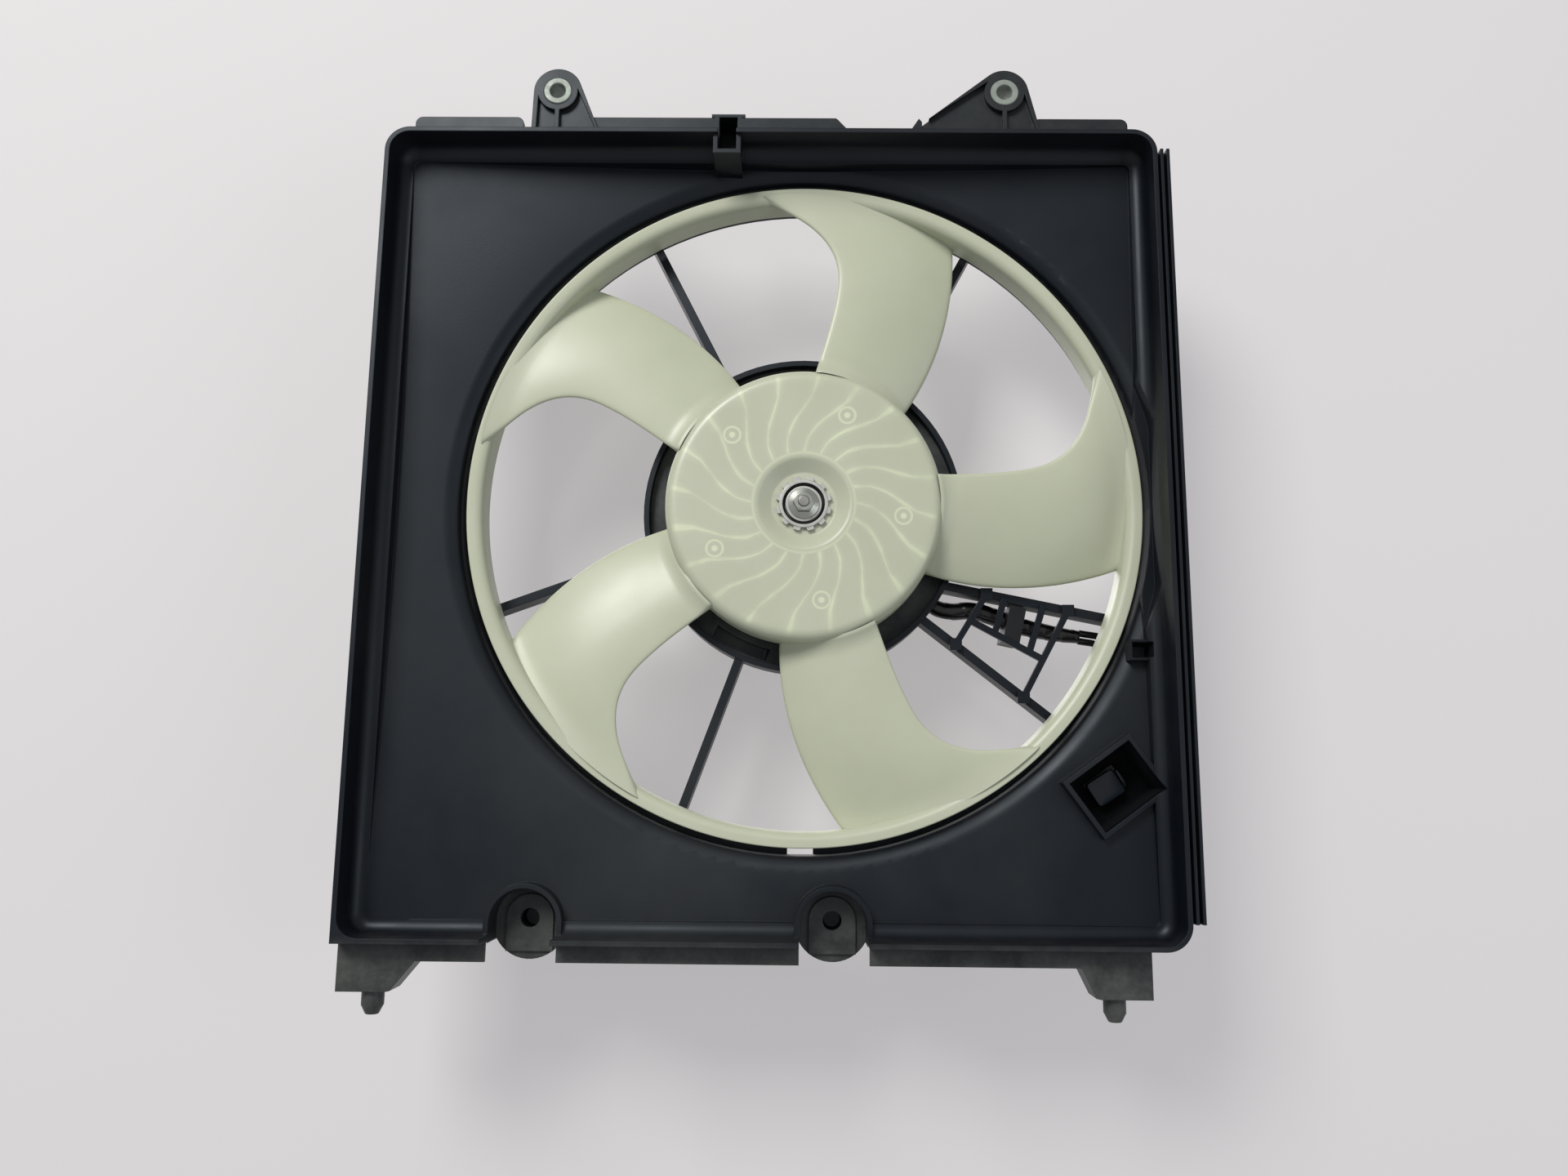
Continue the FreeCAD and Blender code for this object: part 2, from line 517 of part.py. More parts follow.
def fan_ring():
    """The ring that joins the blade tips, with a flared lip towards the radiator."""
    inner = RING_R - RING_WALL
    return turned([(inner, FAN_Y + RING_D), (inner, FAN_Y + 1.0, 5.0), (FAN_R, FAN_Y, 0.6),
                   (FAN_R, FAN_Y + 2.6, 0.6), (RING_R, FAN_Y + 4.0, 3.0), (RING_R, FAN_Y + RING_D)])


def hub_shell():
    """The hub: a cup open to the engine, with a central bowl and a bored boss."""
    inside = HUB_Y + HUB_WALL
    cup = turned([(INSERT_R, HUB_Y + BOWL_D), (BOWL_FLOOR_R, HUB_Y + BOWL_D, 1.5), (BOWL_R, HUB_Y, 4.0),
                  (HUB_R, HUB_Y, HUB_EDGE_R), (HUB_R, HUB_END), (HUB_R - HUB_WALL, HUB_END),
                  (HUB_R - HUB_WALL, inside, HUB_EDGE_R - HUB_WALL), (BOWL_R + 1.5, inside, 2.0),
                  (BOSS_R + 1.0, HUB_Y + BOWL_D + HUB_WALL), (BOSS_R, HUB_Y + BOWL_D + BOSS_D),
                  (INSERT_R, HUB_Y + BOWL_D + BOSS_D)])
    return cup


def arc_strip(points, width, y0, y1):
    """A curved rib: an arc through three (x, z) points, as wide as width."""
    circle = Part.Arc(*[V(x, z, 0) for x, z in points]).toShape().Curve
    centre, radius = circle.Center, circle.Radius
    sides = []
    for shift in (-width / 2, width / 2):
        sides.append([centre + (V(x, z, 0) - centre) * ((radius + shift) / radius) for x, z in points])
    place = [[V(p.x, y0, p.y) for p in side] for side in sides]
    edges = [Part.Arc(*place[0]).toShape(), Part.LineSegment(place[0][2], place[1][2]).toShape(),
             Part.Arc(*place[1]).toShape(), Part.LineSegment(place[1][0], place[0][0]).toShape()]
    return Part.Face(Part.Wire(Part.__sortEdges__(edges))).extrude(V(0, y1 - y0, 0))


def hub_rib():
    """One swept stiffening rib behind the hub's face."""
    inner, outer = BOSS_R + 2.0, HUB_R - HUB_WALL / 2
    points = [polar(inner, 0.0), polar((inner + outer) / 2, -RIB_SWEEP_MID), polar(outer, -RIB_SWEEP_END)]
    back = HUB_Y + HUB_WALL
    return arc_strip(points, RIB_T, back - 0.6, back + RIB_D)


def ejector_mark():
    """A shallow round mark on the hub's face, in line with a blade."""
    x, z = polar(EJECTOR_PCR, EJECTOR_ANGLE)
    return tube(EJECTOR_R, EJECTOR_R - 0.6, HUB_Y - 0.25, HUB_Y + 0.5, x, z)


def fan():
    """Ring fan in one moulding: ring, blades, hub cup and the ribs inside it."""
    blades = ring_of(blade(), BLADES, BLADE_PHASE)
    return fused([hub_shell(), fan_ring()] + blades + ring_of(hub_rib(), HUB_RIBS)
                 + ring_of(ejector_mark(), BLADES))


# ---------------------------------------------------------------- hub insert, nut and shaft
INSERT_Y = BOWL_FLOOR_Y - INSERT_RING_T
NUT_SEAT_Y = INSERT_Y + 0.5
STUD_Y = NUT_SEAT_Y - NUT_H - STUD_OUT


def hub_insert():
    """Toothed metal ring and sleeve moulded into the hub; the nut seats inside its groove."""
    bore = SHAFT_R + RUN_GAP
    sleeve = INSERT_R - RUN_GAP
    body = turned([(bore, NUT_SEAT_Y), (GROOVE_FLOOR_R, NUT_SEAT_Y, 0.4),
                   (GROOVE_FLOOR_R, INSERT_Y + GROOVE_D),
                   (GROOVE_R, INSERT_Y + GROOVE_D), (GROOVE_R, INSERT_Y, 0.3), (INSERT_RING_R, INSERT_Y, 0.4),
                   (INSERT_RING_R, BOWL_FLOOR_Y), (sleeve, BOWL_FLOOR_Y),
                   (sleeve, BOSS_END), (bore, BOSS_END)])
    half = INSERT_TOOTH_W / 2
    tooth = plate([(INSERT_R, -half - 0.4), (INSERT_TOOTH_R, -half, 0.5), (INSERT_TOOTH_R, half, 0.5),
                   (INSERT_R, half + 0.4)], INSERT_Y + 0.3, BOWL_FLOOR_Y)
    return fused([body] + ring_of(tooth, INSERT_TEETH, 15.0))


def flange_nut():
    """Flange nut that clamps the hub on the shaft."""
    front, flange = NUT_SEAT_Y - NUT_H, NUT_SEAT_Y - NUT_FLANGE_T
    across = NUT_AF / math.sqrt(3)
    hexagon = plate([polar(across, 60.0 * i) for i in range(6)], front, NUT_SEAT_Y)
    hexagon = hexagon.common(cone(NUT_AF / 2 - 0.3, NUT_AF / 2 - 0.3 + 2 * NUT_H, front, NUT_SEAT_Y))
    collar = turned([(0, flange - 0.8), (NUT_AF / 2, flange - 0.8), (NUT_FLANGE_R, flange + 0.7),
                     (NUT_FLANGE_R, NUT_SEAT_Y), (0, NUT_SEAT_Y)])
    return hexagon.fuse(collar).cut(rod(STUD_R + RUN_GAP, 0, FAR)).removeSplitter()


def motor_shaft():
    """Shaft: threaded stud, seat in the insert, collar behind the washer, then the bearings."""
    shoulder = NUT_SEAT_Y + 0.6
    collar = BOSS_END + WASHER_T
    return turned([(0, STUD_Y), (STUD_R, STUD_Y, 0.6), (STUD_R, shoulder), (SHAFT_R, shoulder, 0.3),
                   (SHAFT_R, collar), (COLLAR_R, collar, 0.3), (COLLAR_R, collar + 1.2, 0.3),
                   (SHAFT_R, collar + 1.2), (SHAFT_R, CAN_END + 3.0, 0.5), (0, CAN_END + 3.0)])


def hub_washer():
    """Washer between the insert and the shaft's collar."""
    return tube(WASHER_R, SHAFT_R + RUN_GAP, BOSS_END, BOSS_END + WASHER_T)


# ---------------------------------------------------------------- motor housing
BOSS_FRONT_Y = CAN_Y - PLATE_T - BOSS_FRONT_L
BOSS_REAR_Y = CAN_END + BOSS_REAR_L
LEAD_Y = CAN_Y + LEAD_SET


def motor_plate():
    """Front end plate: a disc with the front bearing's boss and three fixing ears."""
    y0 = CAN_Y - PLATE_T
    disc = rod(CAN_R + 1.5, y0, CAN_Y)
    boss = rod(BOSS_FRONT_R, BOSS_FRONT_Y, CAN_Y)
    boss = boss.makeFillet(1.5, [e for e in boss.Edges if abs(e.BoundBox.YMax - BOSS_FRONT_Y) < 1e-6])
    ear = rod(EAR_R, y0, CAN_Y, EAR_PCR, 0)
    ear = ear.fuse(bar((CAN_R - 4, 0), (EAR_PCR, 0), 2 * EAR_R, y0, CAN_Y))
    body = fused([disc, boss] + ring_of(ear, 3, SCREW_FIRST))
    body = body.cut(rod(BEARING_R + RUN_GAP, BOSS_FRONT_Y + PLATE_WALL, CAN_Y + 1))
    body = body.cut(rod(SHAFT_R + 1.5, 0, FAR))
    for hole in screw_holes():
        body = body.cut(hole)
    return body.removeSplitter()


def motor_can():
    """Drawn steel can with the rear bearing's boss, four vents and the opening for the lead."""
    inner, pocket = CAN_R - CAN_WALL, BEARING_R + RUN_GAP
    floor, pocket_end = CAN_END - CAN_WALL, BOSS_REAR_Y - CAN_WALL
    body = turned([(inner, CAN_Y), (CAN_R, CAN_Y), (CAN_R, CAN_END, 7.0), (BOSS_REAR_R, CAN_END, 1.5),
                   (BOSS_REAR_R, BOSS_REAR_Y, 2.0), (0, BOSS_REAR_Y), (0, pocket_end), (pocket, pocket_end),
                   (pocket, floor), (inner, floor, 5.0)])
    vent = rod(CAN_VENT_R, floor - 1, CAN_END + 1, CAN_VENT_PCR, 0)
    for hole in ring_of(vent, CAN_VENTS, 45.0):
        body = body.cut(hole)
    return body.cut(along_lead(GROMMET_R, CAN_R - 9, CAN_R + 2))


def along_lead(radius, r0, r1):
    """A cylinder along the lead's way out of the can, between two distances from the shaft."""
    x, z = polar(1.0, LEAD_ANGLE)
    return Part.makeCylinder(radius, r1 - r0, V(x * r0, LEAD_Y, z * r0), V(x, 0, z))


def grommet():
    """Rubber grommet in the can's opening; the lead passes through it."""
    plug = along_lead(GROMMET_R - RUN_GAP, CAN_R - CAN_WALL - 1.5, CAN_R + 1)
    flange = along_lead(GROMMET_FLANGE_R, CAN_R - 1, CAN_R + 1.8).cut(rod(CAN_R + RUN_GAP, 0, FAR))
    return plug.fuse(flange).cut(along_lead(LEAD_R + RUN_GAP, 0, FAR)).removeSplitter()


def bearing(y0):
    return tube(BEARING_R, SHAFT_R + RUN_GAP, y0, y0 + BEARING_L)


def front_bearing():
    return bearing(BOSS_FRONT_Y + PLATE_WALL)


def rear_bearing():
    return bearing(BOSS_REAR_Y - CAN_WALL - BEARING_L)


def motor_screws():
    """Three pan-head screws through the plate's ears into the support ring."""
    face = CAN_Y - PLATE_T
    front = face - SCREW_HEAD_H
    head = rod(SCREW_HEAD_R, front, face, EAR_PCR, 0)
    head = head.makeFillet(1.2, [e for e in head.Edges if abs(e.BoundBox.YMax - front) < 1e-6])
    hexagon = [polar(2.3, 60.0 * i) for i in range(6)]
    socket = plate([(EAR_PCR + a, b) for a, b in hexagon], front - 1, front + 1.5)
    screw = head.cut(socket).fuse(rod(SCREW_R - RUN_GAP, face, face + SCREW_L, EAR_PCR, 0)).removeSplitter()
    return Part.makeCompound(ring_of(screw, 3, SCREW_FIRST))


# ---------------------------------------------------------------- motor inside
CORE_Y = CAN_Y + CORE_SET
COMM_Y = CAN_Y + COMM_SET
BRUSH_R = COMM_R + SWEEP_GAP
GUIDE_Y = CAN_Y + CARD_T
GUIDE_END = CAN_R - 8.0


def slot_space(y0, y1, inset):
    """One winding slot: wide at its floor, narrow where it opens at the rim."""
    outer = CORE_R - 4.0
    half_in, half_out = SLOT_FLOOR_R * 0.12, outer * 0.16
    wide = plate([(SLOT_FLOOR_R + inset, -half_in + inset), (outer - inset, -half_out + inset, 1.5),
                  (outer - inset, half_out - inset, 1.5), (SLOT_FLOOR_R + inset, half_in - inset)], y0, y1)
    mouth = box(outer - 1, CORE_R + 1, y0, y1, -SLOT_MOUTH / 2, SLOT_MOUTH / 2)
    return wide if inset else wide.fuse(mouth)


def armature_core():
    """Stack of laminations with slots for the coils."""
    body = tube(CORE_R, SHAFT_R + RUN_GAP, CORE_Y, CORE_Y + CORE_L)
    for slot in ring_of(slot_space(CORE_Y - 1, CORE_Y + CORE_L + 1, 0.0), SLOTS):
        body = body.cut(slot)
    return body.removeSplitter()


def armature_winding():
    """The coils: a bundle in each slot, joined over both ends of the core."""
    outer, back = CORE_R - 3.0, CORE_Y + CORE_L
    ends = [turned([(SLOT_FLOOR_R - 2, y0), (outer, y0, 2.0), (outer, y0 + WINDING_END, 2.0),
                    (SLOT_FLOOR_R - 2, y0 + WINDING_END)]) for y0 in (CORE_Y - WINDING_END, back)]
    bundles = ring_of(slot_space(CORE_Y - 1, back + 1, RUN_GAP), SLOTS)
    return fused(ends + bundles)


def commutator():
    """Copper segments round an insulating sleeve."""
    body = tube(COMM_R, SHAFT_R + RUN_GAP, COMM_Y, COMM_Y + COMM_L)
    gap = box(COMM_R - 1.0, COMM_R + 1, COMM_Y - 1, COMM_Y + COMM_L - 2, -0.3, 0.3)
    for cut in ring_of(gap, SLOTS):
        body = body.cut(cut)
    return body


def magnets():
    """Arc magnets on the can's wall."""
    outer = CAN_R - CAN_WALL - FIT_GAP
    y0 = CORE_Y + (CORE_L - MAGNET_L) / 2
    ring = tube(outer, outer - MAGNET_T, y0, y0 + MAGNET_L)
    half = math.tan(math.radians(MAGNET_SPAN / 2)) * FAR
    wedge = plate([(0, 0), (FAR, -half), (FAR, half)], 0, FAR)
    return Part.makeCompound(ring_of(ring.common(wedge), MAGNETS))


def brush_card():
    """Moulded card with two brush guides, against the front plate."""
    top = GUIDE_Y + BRUSH_H + GUIDE_WALL
    half = BRUSH_W / 2
    disc = tube(CAN_R - CAN_WALL - FIT_GAP, COMM_R + 3.0, CAN_Y, GUIDE_Y)
    guide = box(COMM_R + 4.0, GUIDE_END, CAN_Y, top, -half - GUIDE_WALL, half + GUIDE_WALL)
    bore = box(0, GUIDE_END - GUIDE_WALL, GUIDE_Y, top - GUIDE_WALL, -half - RUN_GAP, half + RUN_GAP)
    return fused([disc] + ring_of(guide, 2)).cut(fused(ring_of(bore, 2))).removeSplitter()


def brushes():
    """Two carbon brushes, hollowed to the commutator's round."""
    block = box(COMM_R - 2, BRUSH_R + BRUSH_L, GUIDE_Y, GUIDE_Y + BRUSH_H - FIT_GAP,
                -BRUSH_W / 2, BRUSH_W / 2)
    return Part.makeCompound(ring_of(block.cut(rod(BRUSH_R, 0, FAR)), 2))


# ---------------------------------------------------------------- bushings in the upper tabs
def tab_bushings():
    """Plated steel bushings pressed into the upper tabs."""
    front = TAB_Y - (BUSH_L - TAB_D) / 3
    made = []
    for x in (TAB_CX - TAB_SPACING / 2, TAB_CX + TAB_SPACING / 2):
        body = tube(BUSH_R - RUN_GAP, BUSH_BORE_R, front, front + BUSH_L, x, TAB_Z)
        rims = [e for e in body.Edges if e.BoundBox.YLength < 1e-6]
        made.append(body.makeChamfer(0.45, rims))
    return Part.makeCompound(made)


# ---------------------------------------------------------------- lead, guard and connector
GUARD_Y = STRUT_Y - GUARD_T
GUARD_BARS = (((100.1, -45.0), (83.0, -72.5)), ((109.9, -47.0), (104.1, -67.0)),
              ((130.9, -51.0), (122.6, -77.0)), ((144.2, -53.8), (119.0, -101.0)),
              ((90.0, -58.9), (131.4, -81.2)))
CLIP_X, CLIP_Z = 114.5, -64.5


def lead_guard():
    """Ladder-shaped guard, snapped over the two lower rails in front of the lead."""
    bars = [bar(start, end, GUARD_W, GUARD_Y, STRUT_Y) for start, end in GUARD_BARS]
    half = GUARD_LUG / 2
    feet = [foot for ends in (GUARD_BARS[0], GUARD_BARS[3]) for foot in ends]
    lugs = [box(x - half, x + half, GUARD_Y, STRUT_Y, z - half, z + half) for x, z in feet]
    return fused(bars + lugs)


def sweep(points, radius):
    """A round tube along straight runs, joined by the widest tangent arcs that the runs allow."""
    marks = [V(*p) for p in points]
    edges, start, length = [], marks[0], 0.0
    for before, here, after in zip(marks, marks[1:], marks[2:]):
        back, ahead = before - here, after - here
        reach = 0.45 * min(back.Length, ahead.Length)
        back.normalize()
        ahead.normalize()
        half = back.getAngle(ahead) / 2
        bend = reach * math.tan(half)
        middle = back + ahead
        middle.normalize()
        crown = here + middle * (bend / math.sin(half) - bend)
        edges += [Part.LineSegment(start, here + back * reach).toShape(),
                  Part.Arc(here + back * reach, crown, here + ahead * reach).toShape()]
        start = here + ahead * reach
        print("    bend radius %.1f mm" % bend)
    edges.append(Part.LineSegment(start, marks[-1]).toShape())
    path = Part.Wire(edges)
    section = Part.Wire(Part.makeCircle(radius, marks[0], marks[1] - marks[0]))
    tube_solid = path.makePipeShell([section], True, False)
    plain = path.Length * math.pi * radius ** 2
    print("    volume %.1f, section times length %.1f" % (tube_solid.Volume, plain))
    return tube_solid


def lead_route():
    """The taped part of the lead, from inside the grommet to where its wires part."""
    ax, az = polar(1.0, LEAD_ANGLE)
    start, bend = CAN_R - CAN_WALL - 1.0, SUPPORT_R + 1.5
    return [(ax * start, LEAD_Y, az * start), (ax * bend, LEAD_Y, az * bend), (97.0, LEAD_Y - 0.4, -52.2),
            (119.0, LEAD_Y - 1.4, -60.0), (137.0, LEAD_Y - 1.6, -64.0), (153.0, LEAD_Y - 1.0, -66.2)]


def motor_lead():
    return sweep(lead_route(), LEAD_R)


def wire_end(side):
    """Where a wire enters the back of the connector, in x and z."""
    x, z = polar(side * TERMINAL_SPACING / 2 + WINDOW_DX, POCKET_ANGLE)
    return POCKET_X + x, POCKET_Z + z


def wire_route(side):
    before, last = [V(*p) for p in lead_route()[-2:]]
    out = last - before
    out.normalize()
    shift = side * WIRE_SPACING / 2
    start = last + out * FIT_GAP + out.cross(V(0, 1, 0)) * shift
    turn = start + out * (15.0 + shift)
    y = last.y
    end_x, end_z = wire_end(side)
    entry = POCKET_END + PLUG_L - WIRE_SEAT
    return [tuple(start), tuple(turn), (177.5 + shift, y + 2.0, -87.0 + shift),
            (179.0 + shift, y + 6.0, -108.0), (173.0 + 1.2 * shift, y + 17.0, -127.0),
            (end_x, entry + 18.0, end_z), (end_x, entry, end_z)]


def lead_wires():
    """The two wires that leave the tape and run to the connector."""
    return Part.makeCompound([sweep(wire_route(side), WIRE_R) for side in (-1, 1)])


def lead_clip():
    """Clip that ties the lead to the guard's middle bar."""
    depth = LEAD_Y + LEAD_R + CLIP_WALL
    block = bar((CLIP_X + 3.2, CLIP_Z + 13.0), (CLIP_X - 1.0, CLIP_Z - 6.5), CLIP_L, STRUT_Y, depth)
    return block.cut(sweep(lead_route(), LEAD_R + RUN_GAP))


# ---------------------------------------------------------------- connector
def connector_body():
    """Two-way connector housing that stands in the pocket's window from behind."""
    front, back = POCKET_END - PLUG_OUT, POCKET_END + PLUG_L
    w, h = WINDOW_W - 2 * FIT_GAP, WINDOW_H - 2 * FIT_GAP
    body = pocket_frame(w, h, front, back, dx=WINDOW_DX)
    flange = pocket_frame(w + 2 * PLUG_FLANGE, h + 2 * PLUG_FLANGE, POCKET_END, POCKET_END + PLUG_FLANGE_T,
                          dx=WINDOW_DX)
    socket = pocket_frame(w - 2 * PLUG_WALL, h - 2 * PLUG_WALL, front - 1,
                          POCKET_END + PLUG_L / 2, dx=WINDOW_DX)
    body = body.fuse(flange).cut(socket)
    for side in (-1, 1):
        x, z = wire_end(side)
        body = body.cut(terminal_frame(side, RUN_GAP, POCKET_END, FAR))
        body = body.cut(rod(WIRE_R + RUN_GAP, back - WIRE_SEAT, FAR, x, z))
    return body.removeSplitter()


def terminal_frame(side, gap, y0, y1):
    return pocket_frame(TERMINAL_W + 2 * gap, TERMINAL_T + 2 * gap, y0, y1,
                        dx=WINDOW_DX + side * TERMINAL_SPACING / 2)


def connector_terminals():
    """Two blade terminals, standing up in the housing's socket."""
    back = POCKET_END + PLUG_L - WIRE_SEAT
    return Part.makeCompound([terminal_frame(side, 0.0, back - TERMINAL_L, back) for side in (-1, 1)])


def connector_lock():
    """Slide lock in the mouth of the socket, with a slot for each terminal."""
    front = POCKET_END - PLUG_OUT + 1.0
    w, h = WINDOW_W - 2 * (PLUG_WALL + 2 * FIT_GAP), WINDOW_H - 2 * (PLUG_WALL + 2 * FIT_GAP)
    body = pocket_frame(w, h, front, front + 4.0, dx=WINDOW_DX)
    for side in (-1, 1):
        body = body.cut(pocket_frame(TERMINAL_W + 1.4, TERMINAL_T + 2.2, 0, FAR,
                                     dx=WINDOW_DX + side * TERMINAL_SPACING / 2))
    return body


NODES = {
    "shroud": shroud,
    "tab_bushings": tab_bushings,
    "fan": fan,
    "hub_insert": hub_insert,
    "flange_nut": flange_nut,
    "hub_washer": hub_washer,
    "motor_shaft": motor_shaft,
    "armature_core": armature_core,
    "armature_winding": armature_winding,
    "commutator": commutator,
    "motor_plate": motor_plate,
    "motor_can": motor_can,
    "front_bearing": front_bearing,
    "rear_bearing": rear_bearing,
    "magnets": magnets,
    "brush_card": brush_card,
    "brushes": brushes,
    "motor_screws": motor_screws,
    "grommet": grommet,
    "motor_lead": motor_lead,
    "lead_wires": lead_wires,
    "lead_clip": lead_clip,
    "lead_guard": lead_guard,
    "connector_body": connector_body,
    "connector_lock": connector_lock,
    "connector_terminals": connector_terminals,
}

if __name__ == "__main__":
    os.makedirs("parts", exist_ok=True)
    for node, make in NODES.items():
        print(node)
        shape = make()
        shape.exportStep(f"parts/{node}.step")
        print("  %d solids, %.1f cm3, valid %s" % (len(shape.Solids), shape.Volume / 1000, shape.isValid()))
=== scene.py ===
# %% [markdown]
# # Radiator fan shroud
# A square moulded tray carries a round barrel, and a ring fan turns in the barrel on a small
# electric motor.  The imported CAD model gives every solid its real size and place.  This lesson
# dresses it: first the view and the light, then the plastics and metals, then finer surfaces for
# the pieces that are looked at most.

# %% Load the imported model
import math
import bmesh
import bpy
import numpy as np
from mathutils import Euler, Matrix, Vector


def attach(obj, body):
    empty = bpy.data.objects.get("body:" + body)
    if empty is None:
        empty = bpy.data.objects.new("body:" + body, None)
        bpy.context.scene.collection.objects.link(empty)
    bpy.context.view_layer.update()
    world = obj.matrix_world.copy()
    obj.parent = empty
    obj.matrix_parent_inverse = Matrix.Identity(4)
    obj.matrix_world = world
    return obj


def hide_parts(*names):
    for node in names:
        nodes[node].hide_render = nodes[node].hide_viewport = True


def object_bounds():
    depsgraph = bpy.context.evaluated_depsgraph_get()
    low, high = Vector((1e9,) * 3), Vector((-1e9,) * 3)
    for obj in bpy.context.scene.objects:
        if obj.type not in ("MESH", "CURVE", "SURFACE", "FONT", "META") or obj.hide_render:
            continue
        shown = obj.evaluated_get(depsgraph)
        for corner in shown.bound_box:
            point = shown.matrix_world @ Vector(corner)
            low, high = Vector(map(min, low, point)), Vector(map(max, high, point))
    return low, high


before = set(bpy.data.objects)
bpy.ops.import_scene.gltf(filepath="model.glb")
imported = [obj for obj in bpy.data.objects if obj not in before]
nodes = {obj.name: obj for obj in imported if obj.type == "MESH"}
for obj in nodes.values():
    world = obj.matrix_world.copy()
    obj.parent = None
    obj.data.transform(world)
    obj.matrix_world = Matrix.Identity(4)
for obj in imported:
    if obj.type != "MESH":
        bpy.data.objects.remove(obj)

cad_box = [list(corner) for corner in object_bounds()]
print("pieces in the packed model:", len(nodes))

# %% [markdown]
# ## The view
# The camera stands in front of the radiator side, a little below the fan's axis, and looks up at
# it slightly.  A 27 mm lens on a 36 mm sensor is the wide lens of a pocket camera: the near rim
# looks larger than the barrel behind it.  Its turn is given by three small angles about the
# object's own axes, so that it reads as "straight on, tipped 9 degrees up".

# %% Camera
CAMERA_PLACE = Vector((-0.0041, -0.5848, -0.1486))
CAMERA_TIP, CAMERA_ROLL, CAMERA_SWING = 0.16569, -0.00940, 0.00982     # radians

lens = bpy.data.cameras.new("camera")
lens.sensor_width = 36.0
lens.lens = 27.04
lens.clip_start = 0.01
camera = bpy.data.objects.new("camera", lens)
bpy.context.scene.collection.objects.link(camera)
level = Matrix.Rotation(math.pi / 2, 4, "X")
turn = Euler((CAMERA_TIP, CAMERA_ROLL, CAMERA_SWING), "YXZ").to_matrix().to_4x4()
camera.matrix_world = Matrix.Translation(CAMERA_PLACE) @ turn @ level
bpy.context.scene.camera = camera
print("camera looks along", [round(v, 3) for v in camera.matrix_world.to_3x3() @ Vector((0, 0, -1))])

# %% [markdown]
# ## Table and light
# The shroud lies on its motor, so the floor is an upright plane just behind it, like a table
# seen from above.  It turns clear where it is seen from behind (Geometry's Backfacing), and lets
# shadow rays through, so that the back of the part shows and is lit too.  Only this plane does
# so: it is staging, and no part of the model.
# The world is dimmer for the object than for the eye: Light Path tells a camera ray from a ray
# that carries light, so the surroundings stay pale while the plastics keep their own colour.

# %% World and table
BACKDROP = (0.60, 0.60, 0.61)
SKY = (0.90, 0.95, 1.0)
SKY_STRENGTH = 0.27
TABLE = (0.41, 0.395, 0.40)
TABLE_GLOW = 0.90
TABLE_ROUGHNESS, TABLE_SPECULAR = 0.9, 0.2
TABLE_SIZE, TABLE_GAP = 16.0, 0.001    # metres


def principled(name):
    """A new material with its node tree and its Principled shader, ready to be wired."""
    material = bpy.data.materials.new(name)
    material.use_nodes = True
    return material, material.node_tree, material.node_tree.nodes["Principled BSDF"]


def either(tree, first, second):
    """1 where either of two 0-or-1 sockets is 1."""
    node = tree.nodes.new("ShaderNodeMath")
    node.operation = "MAXIMUM"
    tree.links.new(first, node.inputs[0])
    tree.links.new(second, node.inputs[1])
    return node.outputs[0]


def looking_rays(tree, path):
    """1 for rays that look (camera, glass and mirror rays), and 0 for those that carry light."""
    straight = either(tree, path.outputs["Is Camera Ray"], path.outputs["Is Transmission Ray"])
    return either(tree, straight, path.outputs["Is Glossy Ray"])


world = bpy.data.worlds.new("studio")
bpy.context.scene.world = world
world.use_nodes = True
tree = world.node_tree
lit = tree.nodes["Background"]
lit.inputs["Color"].default_value = (*SKY, 1.0)
lit.inputs["Strength"].default_value = SKY_STRENGTH
shown = tree.nodes.new("ShaderNodeBackground")
shown.inputs["Color"].default_value = (*BACKDROP, 1.0)
mix = tree.nodes.new("ShaderNodeMixShader")
tree.links.new(looking_rays(tree, tree.nodes.new("ShaderNodeLightPath")), mix.inputs[0])
tree.links.new(lit.outputs[0], mix.inputs[1])
tree.links.new(shown.outputs[0], mix.inputs[2])
tree.links.new(mix.outputs[0], tree.nodes["World Output"].inputs["Surface"])

table_material, tree, shader = principled("pale_table")
shader.inputs["Base Color"].default_value = (*TABLE, 1.0)
shader.inputs["Roughness"].default_value = TABLE_ROUGHNESS
shader.inputs["Specular IOR Level"].default_value = TABLE_SPECULAR
glow = tree.nodes.new("ShaderNodeEmission")
glow.inputs["Color"].default_value = (*TABLE, 1.0)
glow.inputs["Strength"].default_value = TABLE_GLOW
both = tree.nodes.new("ShaderNodeAddShader")
tree.links.new(shader.outputs[0], both.inputs[0])
tree.links.new(glow.outputs[0], both.inputs[1])
path = tree.nodes.new("ShaderNodeLightPath")
seen = tree.nodes.new("ShaderNodeMixShader")
tree.links.new(looking_rays(tree, path), seen.inputs[0])
tree.links.new(shader.outputs[0], seen.inputs[1])
tree.links.new(both.outputs[0], seen.inputs[2])
clear = tree.nodes.new("ShaderNodeBsdfTransparent")
mix = tree.nodes.new("ShaderNodeMixShader")
side = tree.nodes.new("ShaderNodeNewGeometry")
tree.links.new(either(tree, side.outputs["Backfacing"], path.outputs["Is Shadow Ray"]), mix.inputs[0])
tree.links.new(seen.outputs[0], mix.inputs[1])
tree.links.new(clear.outputs[0], mix.inputs[2])
tree.links.new(mix.outputs[0], tree.nodes["Material Output"].inputs["Surface"])
bpy.ops.mesh.primitive_plane_add(size=TABLE_SIZE, location=(0.0, cad_box[1][1] + TABLE_GAP, 0.0),
                                 rotation=(math.pi / 2, 0.0, 0.0))
table = bpy.context.object
table.name = "table"
table.data.materials.append(table_material)
bpy.context.scene.view_settings.view_transform = "Standard"
print("table at y = %.4f m" % table.location.y)

# %% Lamps


